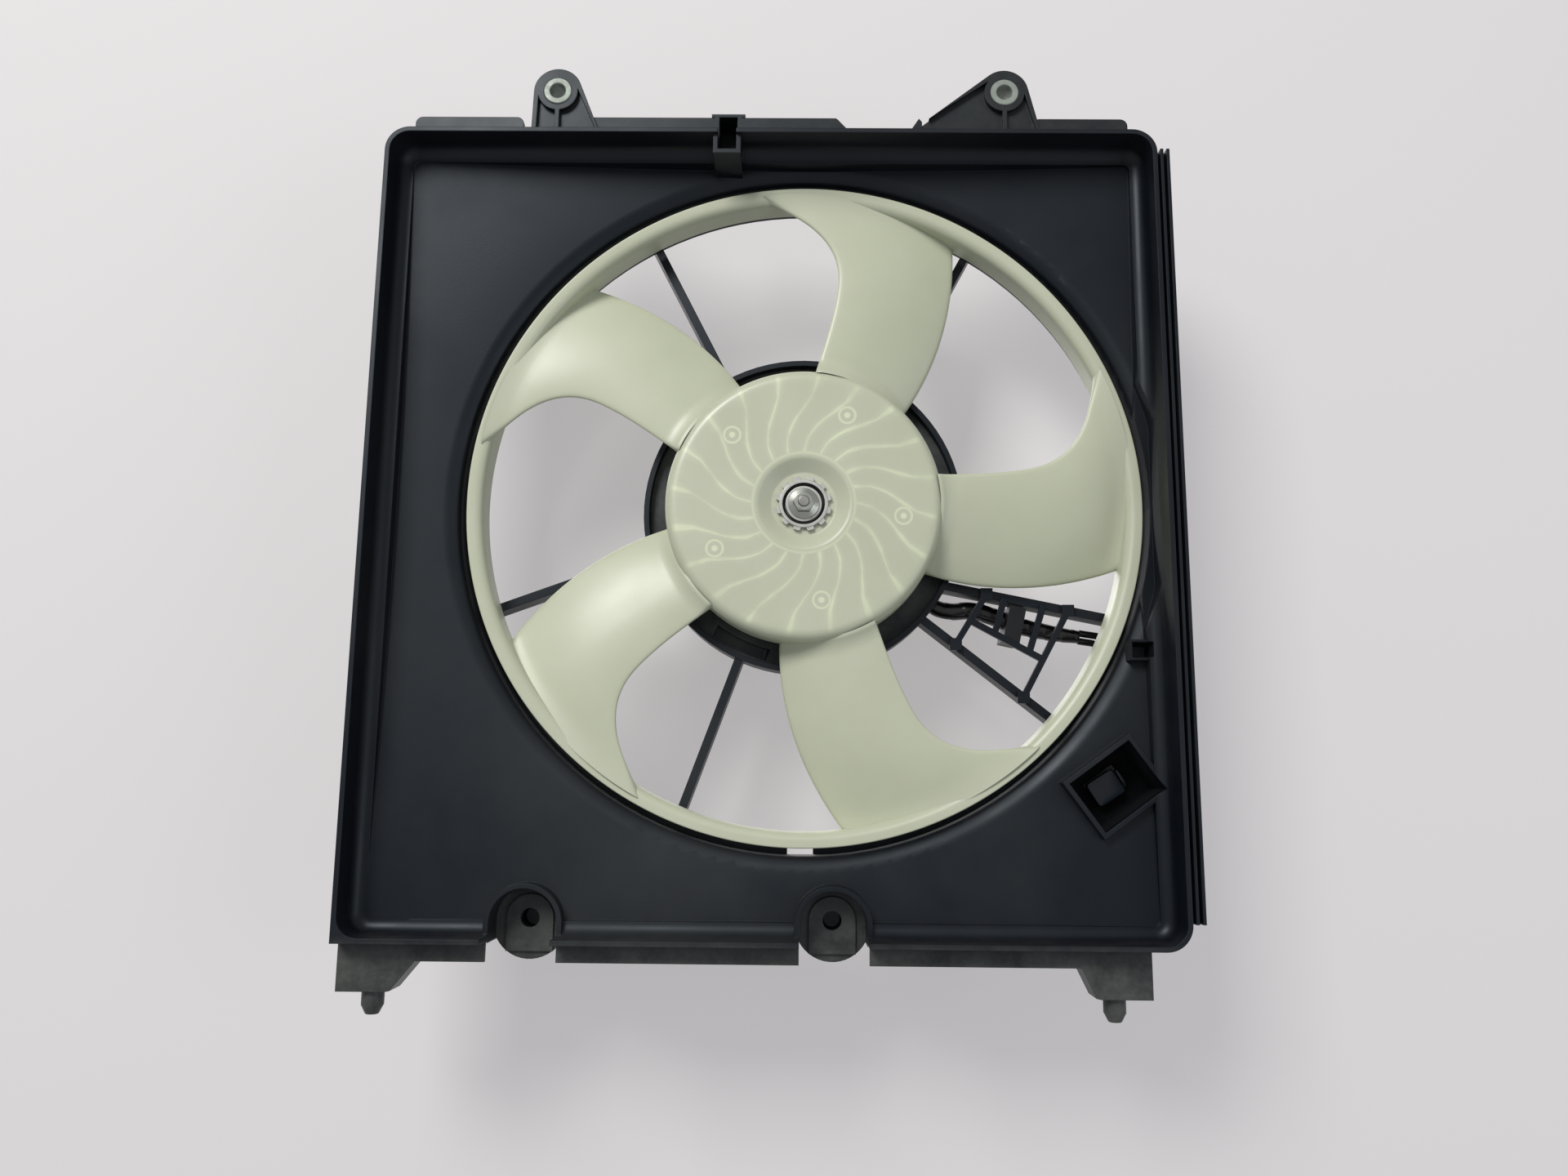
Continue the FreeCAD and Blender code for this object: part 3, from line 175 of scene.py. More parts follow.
def soft_lamp(name, place, size, power, colour=(1.0, 1.0, 1.0)):
    """A square area lamp at place, turned so that its face looks at the origin."""
    data = bpy.data.lights.new(name, "AREA")
    data.size = size
    data.energy = power
    data.color = colour
    lamp = bpy.data.objects.new(name, data)
    bpy.context.scene.collection.objects.link(lamp)
    lamp.location = place
    lamp.rotation_euler = (-Vector(place)).to_track_quat("-Z", "Y").to_euler()


soft_lamp("key", (-0.9, -1.7, 1.3), 0.9, 42, (1.0, 0.99, 0.96))
soft_lamp("fill", (1.5, -1.3, -0.3), 1.0, 6, (0.93, 0.97, 1.0))
soft_lamp("back", (-0.6, 1.5, 0.8), 1.2, 26)

# %% [markdown]
# ## Materials from plain numbers
# Every finish is a Principled shader with two kinds of detail: a slow change over the surface,
# such as handling and dust, and a fine one, such as moulding grain.  Both read Object coordinates,
# so they stay on the piece when the fan turns.

# %% Shader helpers


def new_node(tree, kind, **settings):
    """A shader node of this kind, with the node's own settings given by name."""
    node = tree.nodes.new(kind)
    for name, value in settings.items():
        setattr(node, name, value)
    return node


def object_place(tree):
    """The point's own X, Y and Z in metres, as three sockets."""
    place = new_node(tree, "ShaderNodeSeparateXYZ")
    tree.links.new(new_node(tree, "ShaderNodeTexCoord").outputs["Object"], place.inputs[0])
    return place


def noise(tree, scale, detail=3.0, roughness=0.55):
    """Noise on Object coordinates; its factor runs from 0 to 1 about 0.5."""
    node = new_node(tree, "ShaderNodeTexNoise")
    node.inputs["Scale"].default_value = scale
    node.inputs["Detail"].default_value = detail
    node.inputs["Roughness"].default_value = roughness
    tree.links.new(new_node(tree, "ShaderNodeTexCoord").outputs["Object"], node.inputs["Vector"])
    return node.outputs["Fac"]


def spread(tree, value, low_in, high_in, low_out, high_out):
    """Map Range: value from low_in..high_in to low_out..high_out, clamped."""
    node = new_node(tree, "ShaderNodeMapRange")
    for i, number in enumerate((low_in, high_in, low_out, high_out), 1):
        node.inputs[i].default_value = number
    tree.links.new(value, node.inputs[0])
    return node.outputs[0]


def math_node(tree, operation, a, b=None):
    """One Math node; a and b are numbers or sockets."""
    node = new_node(tree, "ShaderNodeMath", operation=operation)
    for i, value in enumerate((a, b)):
        if value is None:
            continue
        if isinstance(value, (int, float)):
            node.inputs[i].default_value = value
        else:
            tree.links.new(value, node.inputs[i])
    return node.outputs[0]


def axis_distance(tree, place):
    """Distance from the fan's axis: the root of x squared plus z squared."""
    across = math_node(tree, "POWER", place.outputs["X"], 2.0)
    along = math_node(tree, "POWER", place.outputs["Z"], 2.0)
    return math_node(tree, "SQRT", math_node(tree, "ADD", across, along))


def blend_colours(tree, share, first, second):
    """Mix two colours (tuples or sockets) by share."""
    node = new_node(tree, "ShaderNodeMix", data_type="RGBA")
    tree.links.new(share, node.inputs["Factor"])
    for socket, colour in ((node.inputs[6], first), (node.inputs[7], second)):
        if isinstance(colour, tuple):
            socket.default_value = (*colour, 1.0)
        else:
            tree.links.new(colour, socket)
    return node.outputs[2]


def bump(tree, shader, height, distance, strength, edges):
    """Bump from a height socket, in metres of distance, over the softened edges."""
    node = new_node(tree, "ShaderNodeBump")
    node.inputs["Strength"].default_value = strength
    node.inputs["Distance"].default_value = distance
    tree.links.new(height, node.inputs["Height"])
    tree.links.new(edges, node.inputs["Normal"])
    tree.links.new(node.outputs[0], shader.inputs["Normal"])


def soft_edges(tree, radius):
    """Bevel node: shades sharp edges as if they were rounded to this radius, in metres."""
    node = new_node(tree, "ShaderNodeBevel", samples=4)
    node.inputs["Radius"].default_value = radius
    return node.outputs[0]


# %% Shroud plastic: satin near-black, with dust on the lower flanges and painted shade in the pocket
SHROUD_BLACK = (0.0030, 0.0042, 0.0070)
SHROUD_PALER = (0.024, 0.026, 0.028)
DUST = (0.16, 0.165, 0.15)
DUST_TOP = -0.226                      # dust lies below this height
POCKET_MIDDLE, POCKET_TURN = (0.1595, -0.1477), math.radians(36.0)
POCKET_HALVES = (0.0205, 0.0165)
# Painted shade in the connector's pocket: the dark colour its inside is given, and a roughness that dulls
# its sheen.
POCKET_SHADE_PAINT, POCKET_ROUGHNESS = (0.0006, 0.0008, 0.0012), 0.85


def support_dust(tree, place):
    """Dust on the motor support: 1 on its web's front face, within 87 mm of the fan's axis."""
    web = math_node(tree, "MULTIPLY", spread(tree, place.outputs["Y"], 0.0570, 0.0576, 0.0, 1.0),
                    spread(tree, place.outputs["Y"], 0.0660, 0.0664, 1.0, 0.0))
    round_web = spread(tree, axis_distance(tree, place), 0.0865, 0.0870, 0.75, 0.0)
    return math_node(tree, "MULTIPLY", web, round_web)


def painted_pocket_shade(tree, place):
    """1 inside the connector's pocket: a turned box about its middle, behind the floor.

    The pocket is the same plastic as the rest.  This mask paints shade into its inside, as a recessed corner
    would be shaded."""
    cos, sin = math.cos(POCKET_TURN), math.sin(POCKET_TURN)
    right = math_node(tree, "SUBTRACT", place.outputs["X"], POCKET_MIDDLE[0])
    up = math_node(tree, "SUBTRACT", place.outputs["Z"], POCKET_MIDDLE[1])
    mask = spread(tree, place.outputs["Y"], 0.0225, 0.0262, 0.0, 1.0)
    for a, b, half in ((cos, sin, POCKET_HALVES[0]), (-sin, cos, POCKET_HALVES[1])):
        along = math_node(tree, "ADD", math_node(tree, "MULTIPLY", right, a),
                          math_node(tree, "MULTIPLY", up, b))
        inside = spread(tree, math_node(tree, "ABSOLUTE", along), half, half + 0.0006, 1.0, 0.0)
        mask = math_node(tree, "MULTIPLY", mask, inside)
    return mask


def black_plastic(name, gloss=(0.34, 0.52), shroud=False):
    """Moulded black plastic: slow smears in colour and gloss, paler towards the bottom, fine grain, softened
    edges.

    The shroud's also has dust on its flanges, lugs and support, and painted shade in its pocket."""
    material, tree, shader = principled(name)
    shader.inputs["Specular IOR Level"].default_value = 0.26
    shader.inputs["Specular Tint"].default_value = (0.84, 0.92, 1.0, 1.0)
    smear = spread(tree, noise(tree, 6.0, 5.0), 0.45, 0.75, 0.0, 1.0)
    place = object_place(tree)
    # The smears grow stronger lower down, so the plastic is paler towards the bottom.
    lighter_below = spread(tree, place.outputs["Z"], -0.02, -0.20, 0.45, 0.95)
    colour = blend_colours(tree, math_node(tree, "MULTIPLY", smear, lighter_below), SHROUD_BLACK, SHROUD_PALER)
    rough = spread(tree, noise(tree, 14.0, 5.0), 0.3, 0.7, *gloss)
    if shroud:
        under = spread(tree, place.outputs["Z"], DUST_TOP + 0.004, DUST_TOP - 0.006, 0.0, 1.0)
        lug = math_node(tree, "MULTIPLY", spread(tree, place.outputs["Y"], 0.0335, 0.0338, 0.0, 0.9),
                        spread(tree, place.outputs["Z"], -0.201, -0.206, 0.0, 1.0))
        upper = spread(tree, place.outputs["Z"], 0.2004, 0.2008, 0.0, 0.22)
        under = math_node(tree, "MAXIMUM", math_node(tree, "MAXIMUM", under, lug), upper)
        under = math_node(tree, "MAXIMUM", under, support_dust(tree, place))
        specks = spread(tree, noise(tree, 60.0, 6.0, 0.7), 0.35, 0.75, 0.15, 0.65)
        colour = blend_colours(tree, math_node(tree, "MULTIPLY", under, specks), colour, DUST)
        # Painted shade: the pocket's inside is darkened here.
        pocket_shade_share = painted_pocket_shade(tree, place)
        colour = blend_colours(tree, pocket_shade_share, colour, POCKET_SHADE_PAINT)
        rough = math_node(tree, "MAXIMUM", rough, math_node(tree, "MULTIPLY", pocket_shade_share, POCKET_ROUGHNESS))
    tree.links.new(colour, shader.inputs["Base Color"])
    tree.links.new(rough, shader.inputs["Roughness"])
    bump(tree, shader, noise(tree, 1500.0, 2.0), 0.00006, 0.5, soft_edges(tree, 0.0007))
    return material


plastics = {"shroud": black_plastic("shroud_plastic", shroud=True),
            "guard": black_plastic("guard_plastic", gloss=(0.30, 0.42))}
print("made", sorted(m.name for m in plastics.values()))

# %% [markdown]
# ## The shroud and the other moulded pieces
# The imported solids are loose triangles.  A copy of the shroud's mesh is merged, so that its
# curved walls shade as one surface and its real corners stay sharp.

# %% Merged copies
SMOOTH_ANGLE = math.radians(32)


def merged_copy(node, name):
    """A copy of a CAD node's mesh with its doubles merged, smooth except at real corners."""
    mesh = nodes[node].data.copy()
    work = bmesh.new()
    work.from_mesh(mesh)
    bmesh.ops.remove_doubles(work, verts=work.verts, dist=2e-6)
    work.to_mesh(mesh)
    work.free()
    if mesh.has_custom_normals:
        mesh.attributes.remove(mesh.attributes["custom_normal"])
    mesh.polygons.foreach_set("use_smooth", np.ones(len(mesh.polygons), bool))
    mesh.set_sharp_from_angle(angle=SMOOTH_ANGLE)
    piece = bpy.data.objects.new(name, mesh)
    bpy.context.scene.collection.objects.link(piece)
    return piece


def dress(piece, material, body, slot_name, *replaced):
    """Give a piece its only material and its body, and hide the CAD nodes it stands for; slot_name is not
    used.
    """
    piece.data.materials.clear()
    piece.data.materials.append(material)
    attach(piece, body)
    if replaced:
        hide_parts(*replaced)


tray = merged_copy("shroud", "shroud_moulding")
dress(tray, plastics["shroud"], "frame", "shroud_plastic", "shroud")
print("shroud:", len(tray.data.polygons), "triangles")

# %% [markdown]
# ## Surfaces from numbers
# Round and swept pieces are grids: an array of points P[i, j] computed at once with numpy, and
# faces that join each point to its neighbours.  A profile with rounded corners, turned about the
# fan's axis, gives the hub, the ring and the nut's flange.

# %% Grid helper


def grid_piece(name, points, uv=None):
    """Mesh from points[i, j], closed round j: face (i, j) joins (i, j), (i+1, j), (i+1, j+1), (i, j+1).

    uv names each layer's array of faces with four corners each: uv[i, j, corner] = (u, v)."""
    rows, columns = points.shape[:2]
    i, j = np.meshgrid(np.arange(rows - 1), np.arange(columns), indexing="ij")
    up, along = i + 1, (j + 1) % columns
    faces = np.stack([i * columns + j, up * columns + j, up * columns + along, i * columns + along], -1)
    mesh = bpy.data.meshes.new(name)
    mesh.from_pydata(points.reshape(-1, 3), [], faces.reshape(-1, 4))
    if uv is not None:
        for layer_name, corners in uv.items():
            layer = mesh.uv_layers.new(name=layer_name)
            layer.data.foreach_set("uv", corners.reshape(-1, 2).astype(np.float32).ravel())
    mesh.polygons.foreach_set("use_smooth", np.ones(len(mesh.polygons), bool))
    mesh.set_sharp_from_angle(angle=SMOOTH_ANGLE)
    piece = bpy.data.objects.new(name, mesh)
    bpy.context.scene.collection.objects.link(piece)
    return piece


def rounded_profile(corners, steps=6, spacing=None):
    """Points along straight runs whose corners are arcs: each corner is (r, y, radius).

    An arc starts radius / tan(half angle) before the corner, and a run longer than spacing is cut."""
    out = []
    count = len(corners)
    for k, corner in enumerate(corners):
        here = np.array(corner[:2], float)
        radius = corner[2] if len(corner) > 2 else 0.0
        if radius <= 0 or k in (0, count - 1):
            out.append(here[None])
            continue
        before = np.array(corners[k - 1][:2], float) - here
        after = np.array(corners[k + 1][:2], float) - here
        before /= np.linalg.norm(before)
        after /= np.linalg.norm(after)
        half = math.acos(np.clip(before @ after, -1, 1)) / 2
        middle = (before + after) / np.linalg.norm(before + after)
        centre = here + middle * radius / math.sin(half)
        start, end = here + before * radius / math.tan(half), here + after * radius / math.tan(half)
        share = np.linspace(0, 1, steps)[:, None]
        swing = (start - centre) * (1 - share) + (end - centre) * share
        out.append(centre + swing / np.linalg.norm(swing, axis=1)[:, None] * radius)
    points = np.concatenate(out)
    if spacing is None:
        return points
    filled = []
    for a, b in zip(points[:-1], points[1:]):
        cuts = max(1, int(np.linalg.norm(b - a) / spacing))
        filled.append(a + (b - a) * np.linspace(0, 1, cuts, endpoint=False)[:, None])
    return np.concatenate(filled + [points[-1:]])


def turn_profile(profile, count):
    """Surface of revolution about the fan's axis: P = (r cos t, y, r sin t), lengths in metres."""
    t = np.linspace(0, 2 * np.pi, count, endpoint=False)
    r, y = profile[:, 0][:, None], profile[:, 1][:, None]
    return np.stack([r * np.cos(t), np.broadcast_to(y, (len(profile), count)), r * np.sin(t)], -1) / 1000


# %% Fan sizes, in millimetres as on the drawing
HUB_Y, HUB_R, HUB_END, HUB_WALL = 26.0, 74.5, 48.0, 2.6
BOWL_R, BOWL_FLOOR_R, BOWL_FLOOR_Y = 25.0, 17.5, 31.0
INSERT_R, BOSS_END = 12.4, 43.0
RING_Y, RING_END, RING_R, RING_WALL, LIP_R = 28.0, 45.0, 175.0, 2.7, 180.5
BLADES, BLADE_T, BLADE_CAMBER = 5, 2.4, 4.6
ROOT_FLARE, ROOT_REACH = 3.2, 9.0
BLADE_R0, BLADE_R1 = HUB_R - HUB_WALL / 2, RING_R - RING_WALL / 2

# %% [markdown]
# ## The fan's hub
# The hub is a cup of pale plastic.  Twenty curved ribs stand behind its thin face, and the face
# looks lighter where a rib backs it, so the ribs show as lines from the front.  The lines are
# painted by UV: u counts ribs round the hub along their own curve, and v is the radius in
# centimetres, so a line has the same width wherever it runs.

# %% Hub surface
RIB_COUNT = 20
RIB_PATH_R = np.array([0, 27.4, 35.6, 44.6, 52.0, 59.7, 68.3, 80.0])
RIB_PATH_ANGLE = np.array([0.0, 0.0, 3.3, 10.7, 17.5, 22.3, 24.0, 24.6])
MARK_R, MARK_ANGLE = 53.5, 64.4        # round marks of the ejector pins, one for each blade


def hub_uv(points, count):
    """Rib count and radius, and the place beside the nearest ejector mark, at each face corner."""
    rows = len(points) - 1
    i, j = np.meshgrid(np.arange(rows), np.arange(count), indexing="ij")
    corner_i = np.stack([i, i + 1, i + 1, i], -1)
    corner_j = np.stack([j, j, j + 1, j + 1], -1)
    r = points[corner_i, 0]
    angle = corner_j * 360.0 / count
    ribs = (angle + np.interp(r, RIB_PATH_R, RIB_PATH_ANGLE)) * RIB_COUNT / 360.0
    middle = (j + 0.5) * 360.0 / count
    sector = np.round((middle - MARK_ANGLE) / 72.0)[..., None] * 72.0 + MARK_ANGLE
    beside = np.radians(angle - sector)
    return {"ribs": np.stack([ribs, r / 10], -1),
            "marks": np.stack([r * np.sin(beside) / 10, (r * np.cos(beside) - MARK_R) / 10], -1)}


hub_profile = rounded_profile([
    (INSERT_R, BOSS_END), (INSERT_R, BOWL_FLOOR_Y), (BOWL_FLOOR_R, BOWL_FLOOR_Y, 1.5), (BOWL_R, HUB_Y, 4.0),
    (HUB_R, HUB_Y, 6.0), (HUB_R, HUB_END - 0.4, 0.3), (HUB_R - HUB_WALL, HUB_END - 0.4, 0.3),
    (HUB_R - HUB_WALL, HUB_Y + HUB_WALL, 3.4), (BOWL_R + 1.5, HUB_Y + HUB_WALL, 2.0),
    (BOWL_FLOOR_R + 1.0, BOWL_FLOOR_Y + HUB_WALL), (BOWL_FLOOR_R, BOSS_END), (INSERT_R, BOSS_END)],
    steps=7, spacing=2.0)
HUB_SIDES = 240
hub = grid_piece("fan_hub", turn_profile(hub_profile, HUB_SIDES)[::-1],
                 uv={k: v[::-1][:, :, [1, 0, 3, 2]] for k, v in hub_uv(hub_profile, HUB_SIDES).items()})
print("hub:", len(hub.data.polygons), "faces")

# %% [markdown]
# ## The blades
# Each blade is a swept sheet between two edge curves.  The leading edge bows in to a waist and
# then sweeps forward into the ring, and the trailing edge is swept steadily.  The sheet is a
# superellipse in section: |2s - 1| ^ 40 + |h| ^ 2 = 1, flat with rounded edges.  It thickens
# over its last few millimetres, so that it runs into the hub and the ring through a fillet.

# %% Blade surface


def lead_angle(r):
    """Front edge in degrees: 81.6 at the waist, 85.5 at the hub and 98 where it meets the ring."""
    inner = 81.6 + 3.9 * np.clip((120 - r) / (120 - BLADE_R0), 0, 1) ** 2
    return inner + 16.4 * np.clip((r - 120) / (BLADE_R1 - 120), 0, 1) ** 2.4


def trail_angle(r):
    """Rear edge in degrees, from 44.2 at the hub to 61.3 at the ring."""
    return 44.2 + 17.1 * np.clip((r - BLADE_R0) / (BLADE_R1 - BLADE_R0), 0, 1) ** 1.15


def blade_points(turn):
    """A closed sheet: t runs round its section, s = the place between its edges, h = its side."""
    span = np.sort(np.concatenate([np.linspace(0, 1, 50), np.linspace(0.006, 0.09, 9),
                                   np.linspace(0.94, 0.994, 7)]))
    r = (BLADE_R0 + (BLADE_R1 - BLADE_R0) * span)[:, None]
    t = np.linspace(0, 2 * np.pi, 96, endpoint=False)[None]
    s = 0.5 + 0.5 * np.sign(np.cos(t)) * np.abs(np.cos(t)) ** 0.55
    h = np.sign(np.sin(t)) * np.sqrt(1 - np.clip(np.abs(2 * s - 1), 0, 1) ** 40)
    share = (r - BLADE_R0) / (BLADE_R1 - BLADE_R0)
    front = 30.5 - 1.7 * share
    reach = 14.8 - 1.4 * share
    root = (np.clip(1 - (r - HUB_R) / ROOT_REACH, 0, 1) ** 2
            + 0.5 * np.clip(1 - (BLADE_R1 - r) / ROOT_REACH, 0, 1) ** 2)
    half = 0.5 * BLADE_T
    y = front + reach * s - 4 * BLADE_CAMBER * s * (1 - s) + half + (half + ROOT_FLARE * root) * h
    angle = np.radians(lead_angle(r) + (trail_angle(r) - lead_angle(r)) * s + turn)
    r = r + 3.4 * np.clip((33.0 - y) / 4.0, 0, 1) * np.clip((r - 163.0) / (BLADE_R1 - 163.0), 0, 1) ** 2
    return np.stack([r * np.cos(angle), y, r * np.sin(angle)], -1) / 1000


blades = [grid_piece("fan_blade_%d" % (k + 1), blade_points(72.0 * k)) for k in range(BLADES)]
ring_profile = rounded_profile([
    (RING_R - RING_WALL, RING_END), (RING_R - RING_WALL, RING_Y + 1.0, 5.0), (LIP_R, RING_Y, 0.6),
    (LIP_R, RING_Y + 2.6, 0.6), (RING_R, RING_Y + 4.0, 3.0), (RING_R, RING_END),
    (RING_R - RING_WALL, RING_END)],
    steps=8, spacing=4.0)
ring = grid_piece("fan_ring", turn_profile(ring_profile, 300)[::-1])
print("blades:", len(blades), "ring:", len(ring.data.polygons), "faces")

# %% [markdown]
# ## Pale fan plastic
# Unfilled plastic without pigment lets some light in, so it has a soft, milky look.  A little
# subsurface scattering gives that, and slow noise gives the cloudy flow of the moulding.

# %% Fan plastic
FAN_PALE = (0.53, 0.55, 0.415)
FAN_LIGHT = (0.64, 0.66, 0.52)


def fan_plastic(name, ribbed=False):
    """Milky plastic with cloudy flow; the hub's also has its rib lines and ejector marks."""
    material, tree, shader = principled(name)
    cloud = spread(tree, noise(tree, 22.0, 5.0), 0.3, 0.7, 0.0, 1.0)
    colour = blend_colours(tree, math_node(tree, "MULTIPLY", cloud, 0.35), FAN_PALE, FAN_LIGHT)
    if ribbed:
        ribs = new_node(tree, "ShaderNodeUVMap", uv_map="ribs")
        part = new_node(tree, "ShaderNodeSeparateXYZ")
        tree.links.new(ribs.outputs[0], part.inputs[0])
        across = math_node(tree, "ABSOLUTE", math_node(
            tree, "SUBTRACT", math_node(tree, "FRACT", math_node(tree, "ADD", part.outputs["X"], 0.5)), 0.5))
        apart = math_node(tree, "MULTIPLY", across, math_node(
            tree, "MULTIPLY", part.outputs["Y"], 2 * math.pi / RIB_COUNT))
        drift = spread(tree, noise(tree, 55.0, 2.0), 0.25, 0.75, -0.07, 0.07)
        apart = math_node(tree, "ABSOLUTE", math_node(tree, "ADD", apart, drift))
        width = spread(tree, part.outputs["Y"], 6.0, 6.9, 0.08, 0.16)
        near = math_node(tree, "DIVIDE", apart, width)
        line = math_node(tree, "ADD", spread(tree, near, 0.3, 1.3, 0.7, 0.0),
                         spread(tree, near, 0.5, 4.0, 0.3, 0.0))
        window = math_node(tree, "MULTIPLY", spread(tree, part.outputs["Y"], 2.70, 2.85, 0.0, 1.0),
                           spread(tree, part.outputs["Y"], 6.95, 7.25, 1.0, 0.0))
        uneven = spread(tree, noise(tree, 45.0, 3.0), 0.35, 0.65, 0.35, 1.0)
        line = math_node(tree, "MULTIPLY", math_node(tree, "MULTIPLY", line, window), uneven)
        marks = new_node(tree, "ShaderNodeUVMap", uv_map="marks")
        away = new_node(tree, "ShaderNodeVectorMath", operation="LENGTH")
        tree.links.new(marks.outputs[0], away.inputs[0])
        off_ring = math_node(tree, "ABSOLUTE", math_node(tree, "SUBTRACT", away.outputs["Value"], 0.44))
        mark = math_node(tree, "MAXIMUM", spread(tree, off_ring, 0.03, 0.09, 0.8, 0.0),
                         spread(tree, away.outputs["Value"], 0.12, 0.20, 1.0, 0.0))
        line = math_node(tree, "MAXIMUM", line, mark)
        rim_line = spread(tree, math_node(tree, "ABSOLUTE", math_node(
            tree, "SUBTRACT", part.outputs["Y"], 2.74)), 0.03, 0.11, 0.45, 0.0)
        line = math_node(tree, "MAXIMUM", line, rim_line)
        colour = blend_colours(tree, math_node(tree, "MULTIPLY", line, 0.75), colour, (0.80, 0.84, 0.60))
    tree.links.new(colour, shader.inputs["Base Color"])
    shader.inputs["Subsurface Weight"].default_value = 0.12
    shader.inputs["Subsurface Radius"].default_value = (0.8, 0.9, 0.5)
    shader.inputs["Subsurface Scale"].default_value = 0.006
    tree.links.new(spread(tree, noise(tree, 18.0, 4.0), 0.3, 0.7, 0.30, 0.44), shader.inputs["Roughness"])
    bump(tree, shader, noise(tree, 900.0, 2.0), 0.00003, 0.4, soft_edges(tree, 0.0006))
    return material


fan_skin = fan_plastic("fan_plastic")
dress(hub, fan_plastic("hub_plastic", ribbed=True), "rotor", "fan_plastic", "fan")
for piece in blades + [ring]:
    dress(piece, fan_skin, "rotor", "fan_plastic")
print("fan dressed")

# %% [markdown]
# ## Metals and the small parts
# A plated or ground part is metallic with fine uneven gloss; a pressed one is duller.  The CAD
# nodes keep their meshes here, and each gets its own finish in its material slot.

# %% Metal and small-part finishes


def metal(name, colour, gloss, tint=0.75, grain=900.0, depth=0.00002):
    """Bare or plated metal: cloudy plating in its colour, uneven gloss and a fine grain."""
    material, tree, shader = principled(name)
    shader.inputs["Metallic"].default_value = 1.0
    darker = tuple(c * tint for c in colour)
    cloud = spread(tree, noise(tree, 160.0, 4.0), 0.3, 0.7, 0.0, 1.0)
    tree.links.new(blend_colours(tree, cloud, darker, colour), shader.inputs["Base Color"])
    tree.links.new(spread(tree, noise(tree, 260.0, 4.0), 0.3, 0.7, *gloss), shader.inputs["Roughness"])
    bump(tree, shader, noise(tree, grain, 3.0), depth, 0.6, soft_edges(tree, 0.00025))
    return material


def dull(name, colour, gloss, grain=1200.0, depth=0.00004, specular=0.5):
    """Rubber, plastic, ferrite or card: one colour with slow change and a fine grain."""
    material, tree, shader = principled(name)
    shader.inputs["Specular IOR Level"].default_value = specular
    worn = tuple(min(1.0, c * 1.5 + 0.003) for c in colour)
    cloud = spread(tree, noise(tree, 90.0, 5.0), 0.35, 0.75, 0.0, 0.5)
    tree.links.new(blend_colours(tree, cloud, colour, worn), shader.inputs["Base Color"])
    tree.links.new(spread(tree, noise(tree, 120.0, 4.0), 0.3, 0.7, *gloss), shader.inputs["Roughness"])
    bump(tree, shader, noise(tree, grain, 3.0), depth, 0.6, soft_edges(tree, 0.0003))
    return material


def ridged(name, source, pitch, depth):
    """A copy of a finish with turned ridges along Y: a screw thread or stacked sheets."""
    material = source.copy()
    material.name = name
    tree = material.node_tree
    shader = tree.nodes["Principled BSDF"]
    wave = math_node(tree, "PINGPONG", object_place(tree).outputs["Y"], pitch / 2)
    height = math_node(tree, "DIVIDE", wave, pitch / 2)
    bump(tree, shader, height, depth, 0.9, soft_edges(tree, 0.0002))
    return material


def painted_groove_shade(material, inner, outer, colour):
    """Painted shade: darkens a turned part between two radii about the fan's axis, where its groove lies in
    shade.
    """
    tree = material.node_tree
    shader = tree.nodes["Principled BSDF"]
    away = axis_distance(tree, object_place(tree))
    inside = math_node(tree, "MULTIPLY", spread(tree, away, inner, inner + 0.0002, 0.0, 1.0),
                       spread(tree, away, outer - 0.0002, outer, 1.0, 0.0))
    before = shader.inputs["Base Color"].links[0].from_socket
    tree.links.new(blend_colours(tree, inside, before, colour), shader.inputs["Base Color"])
    return material


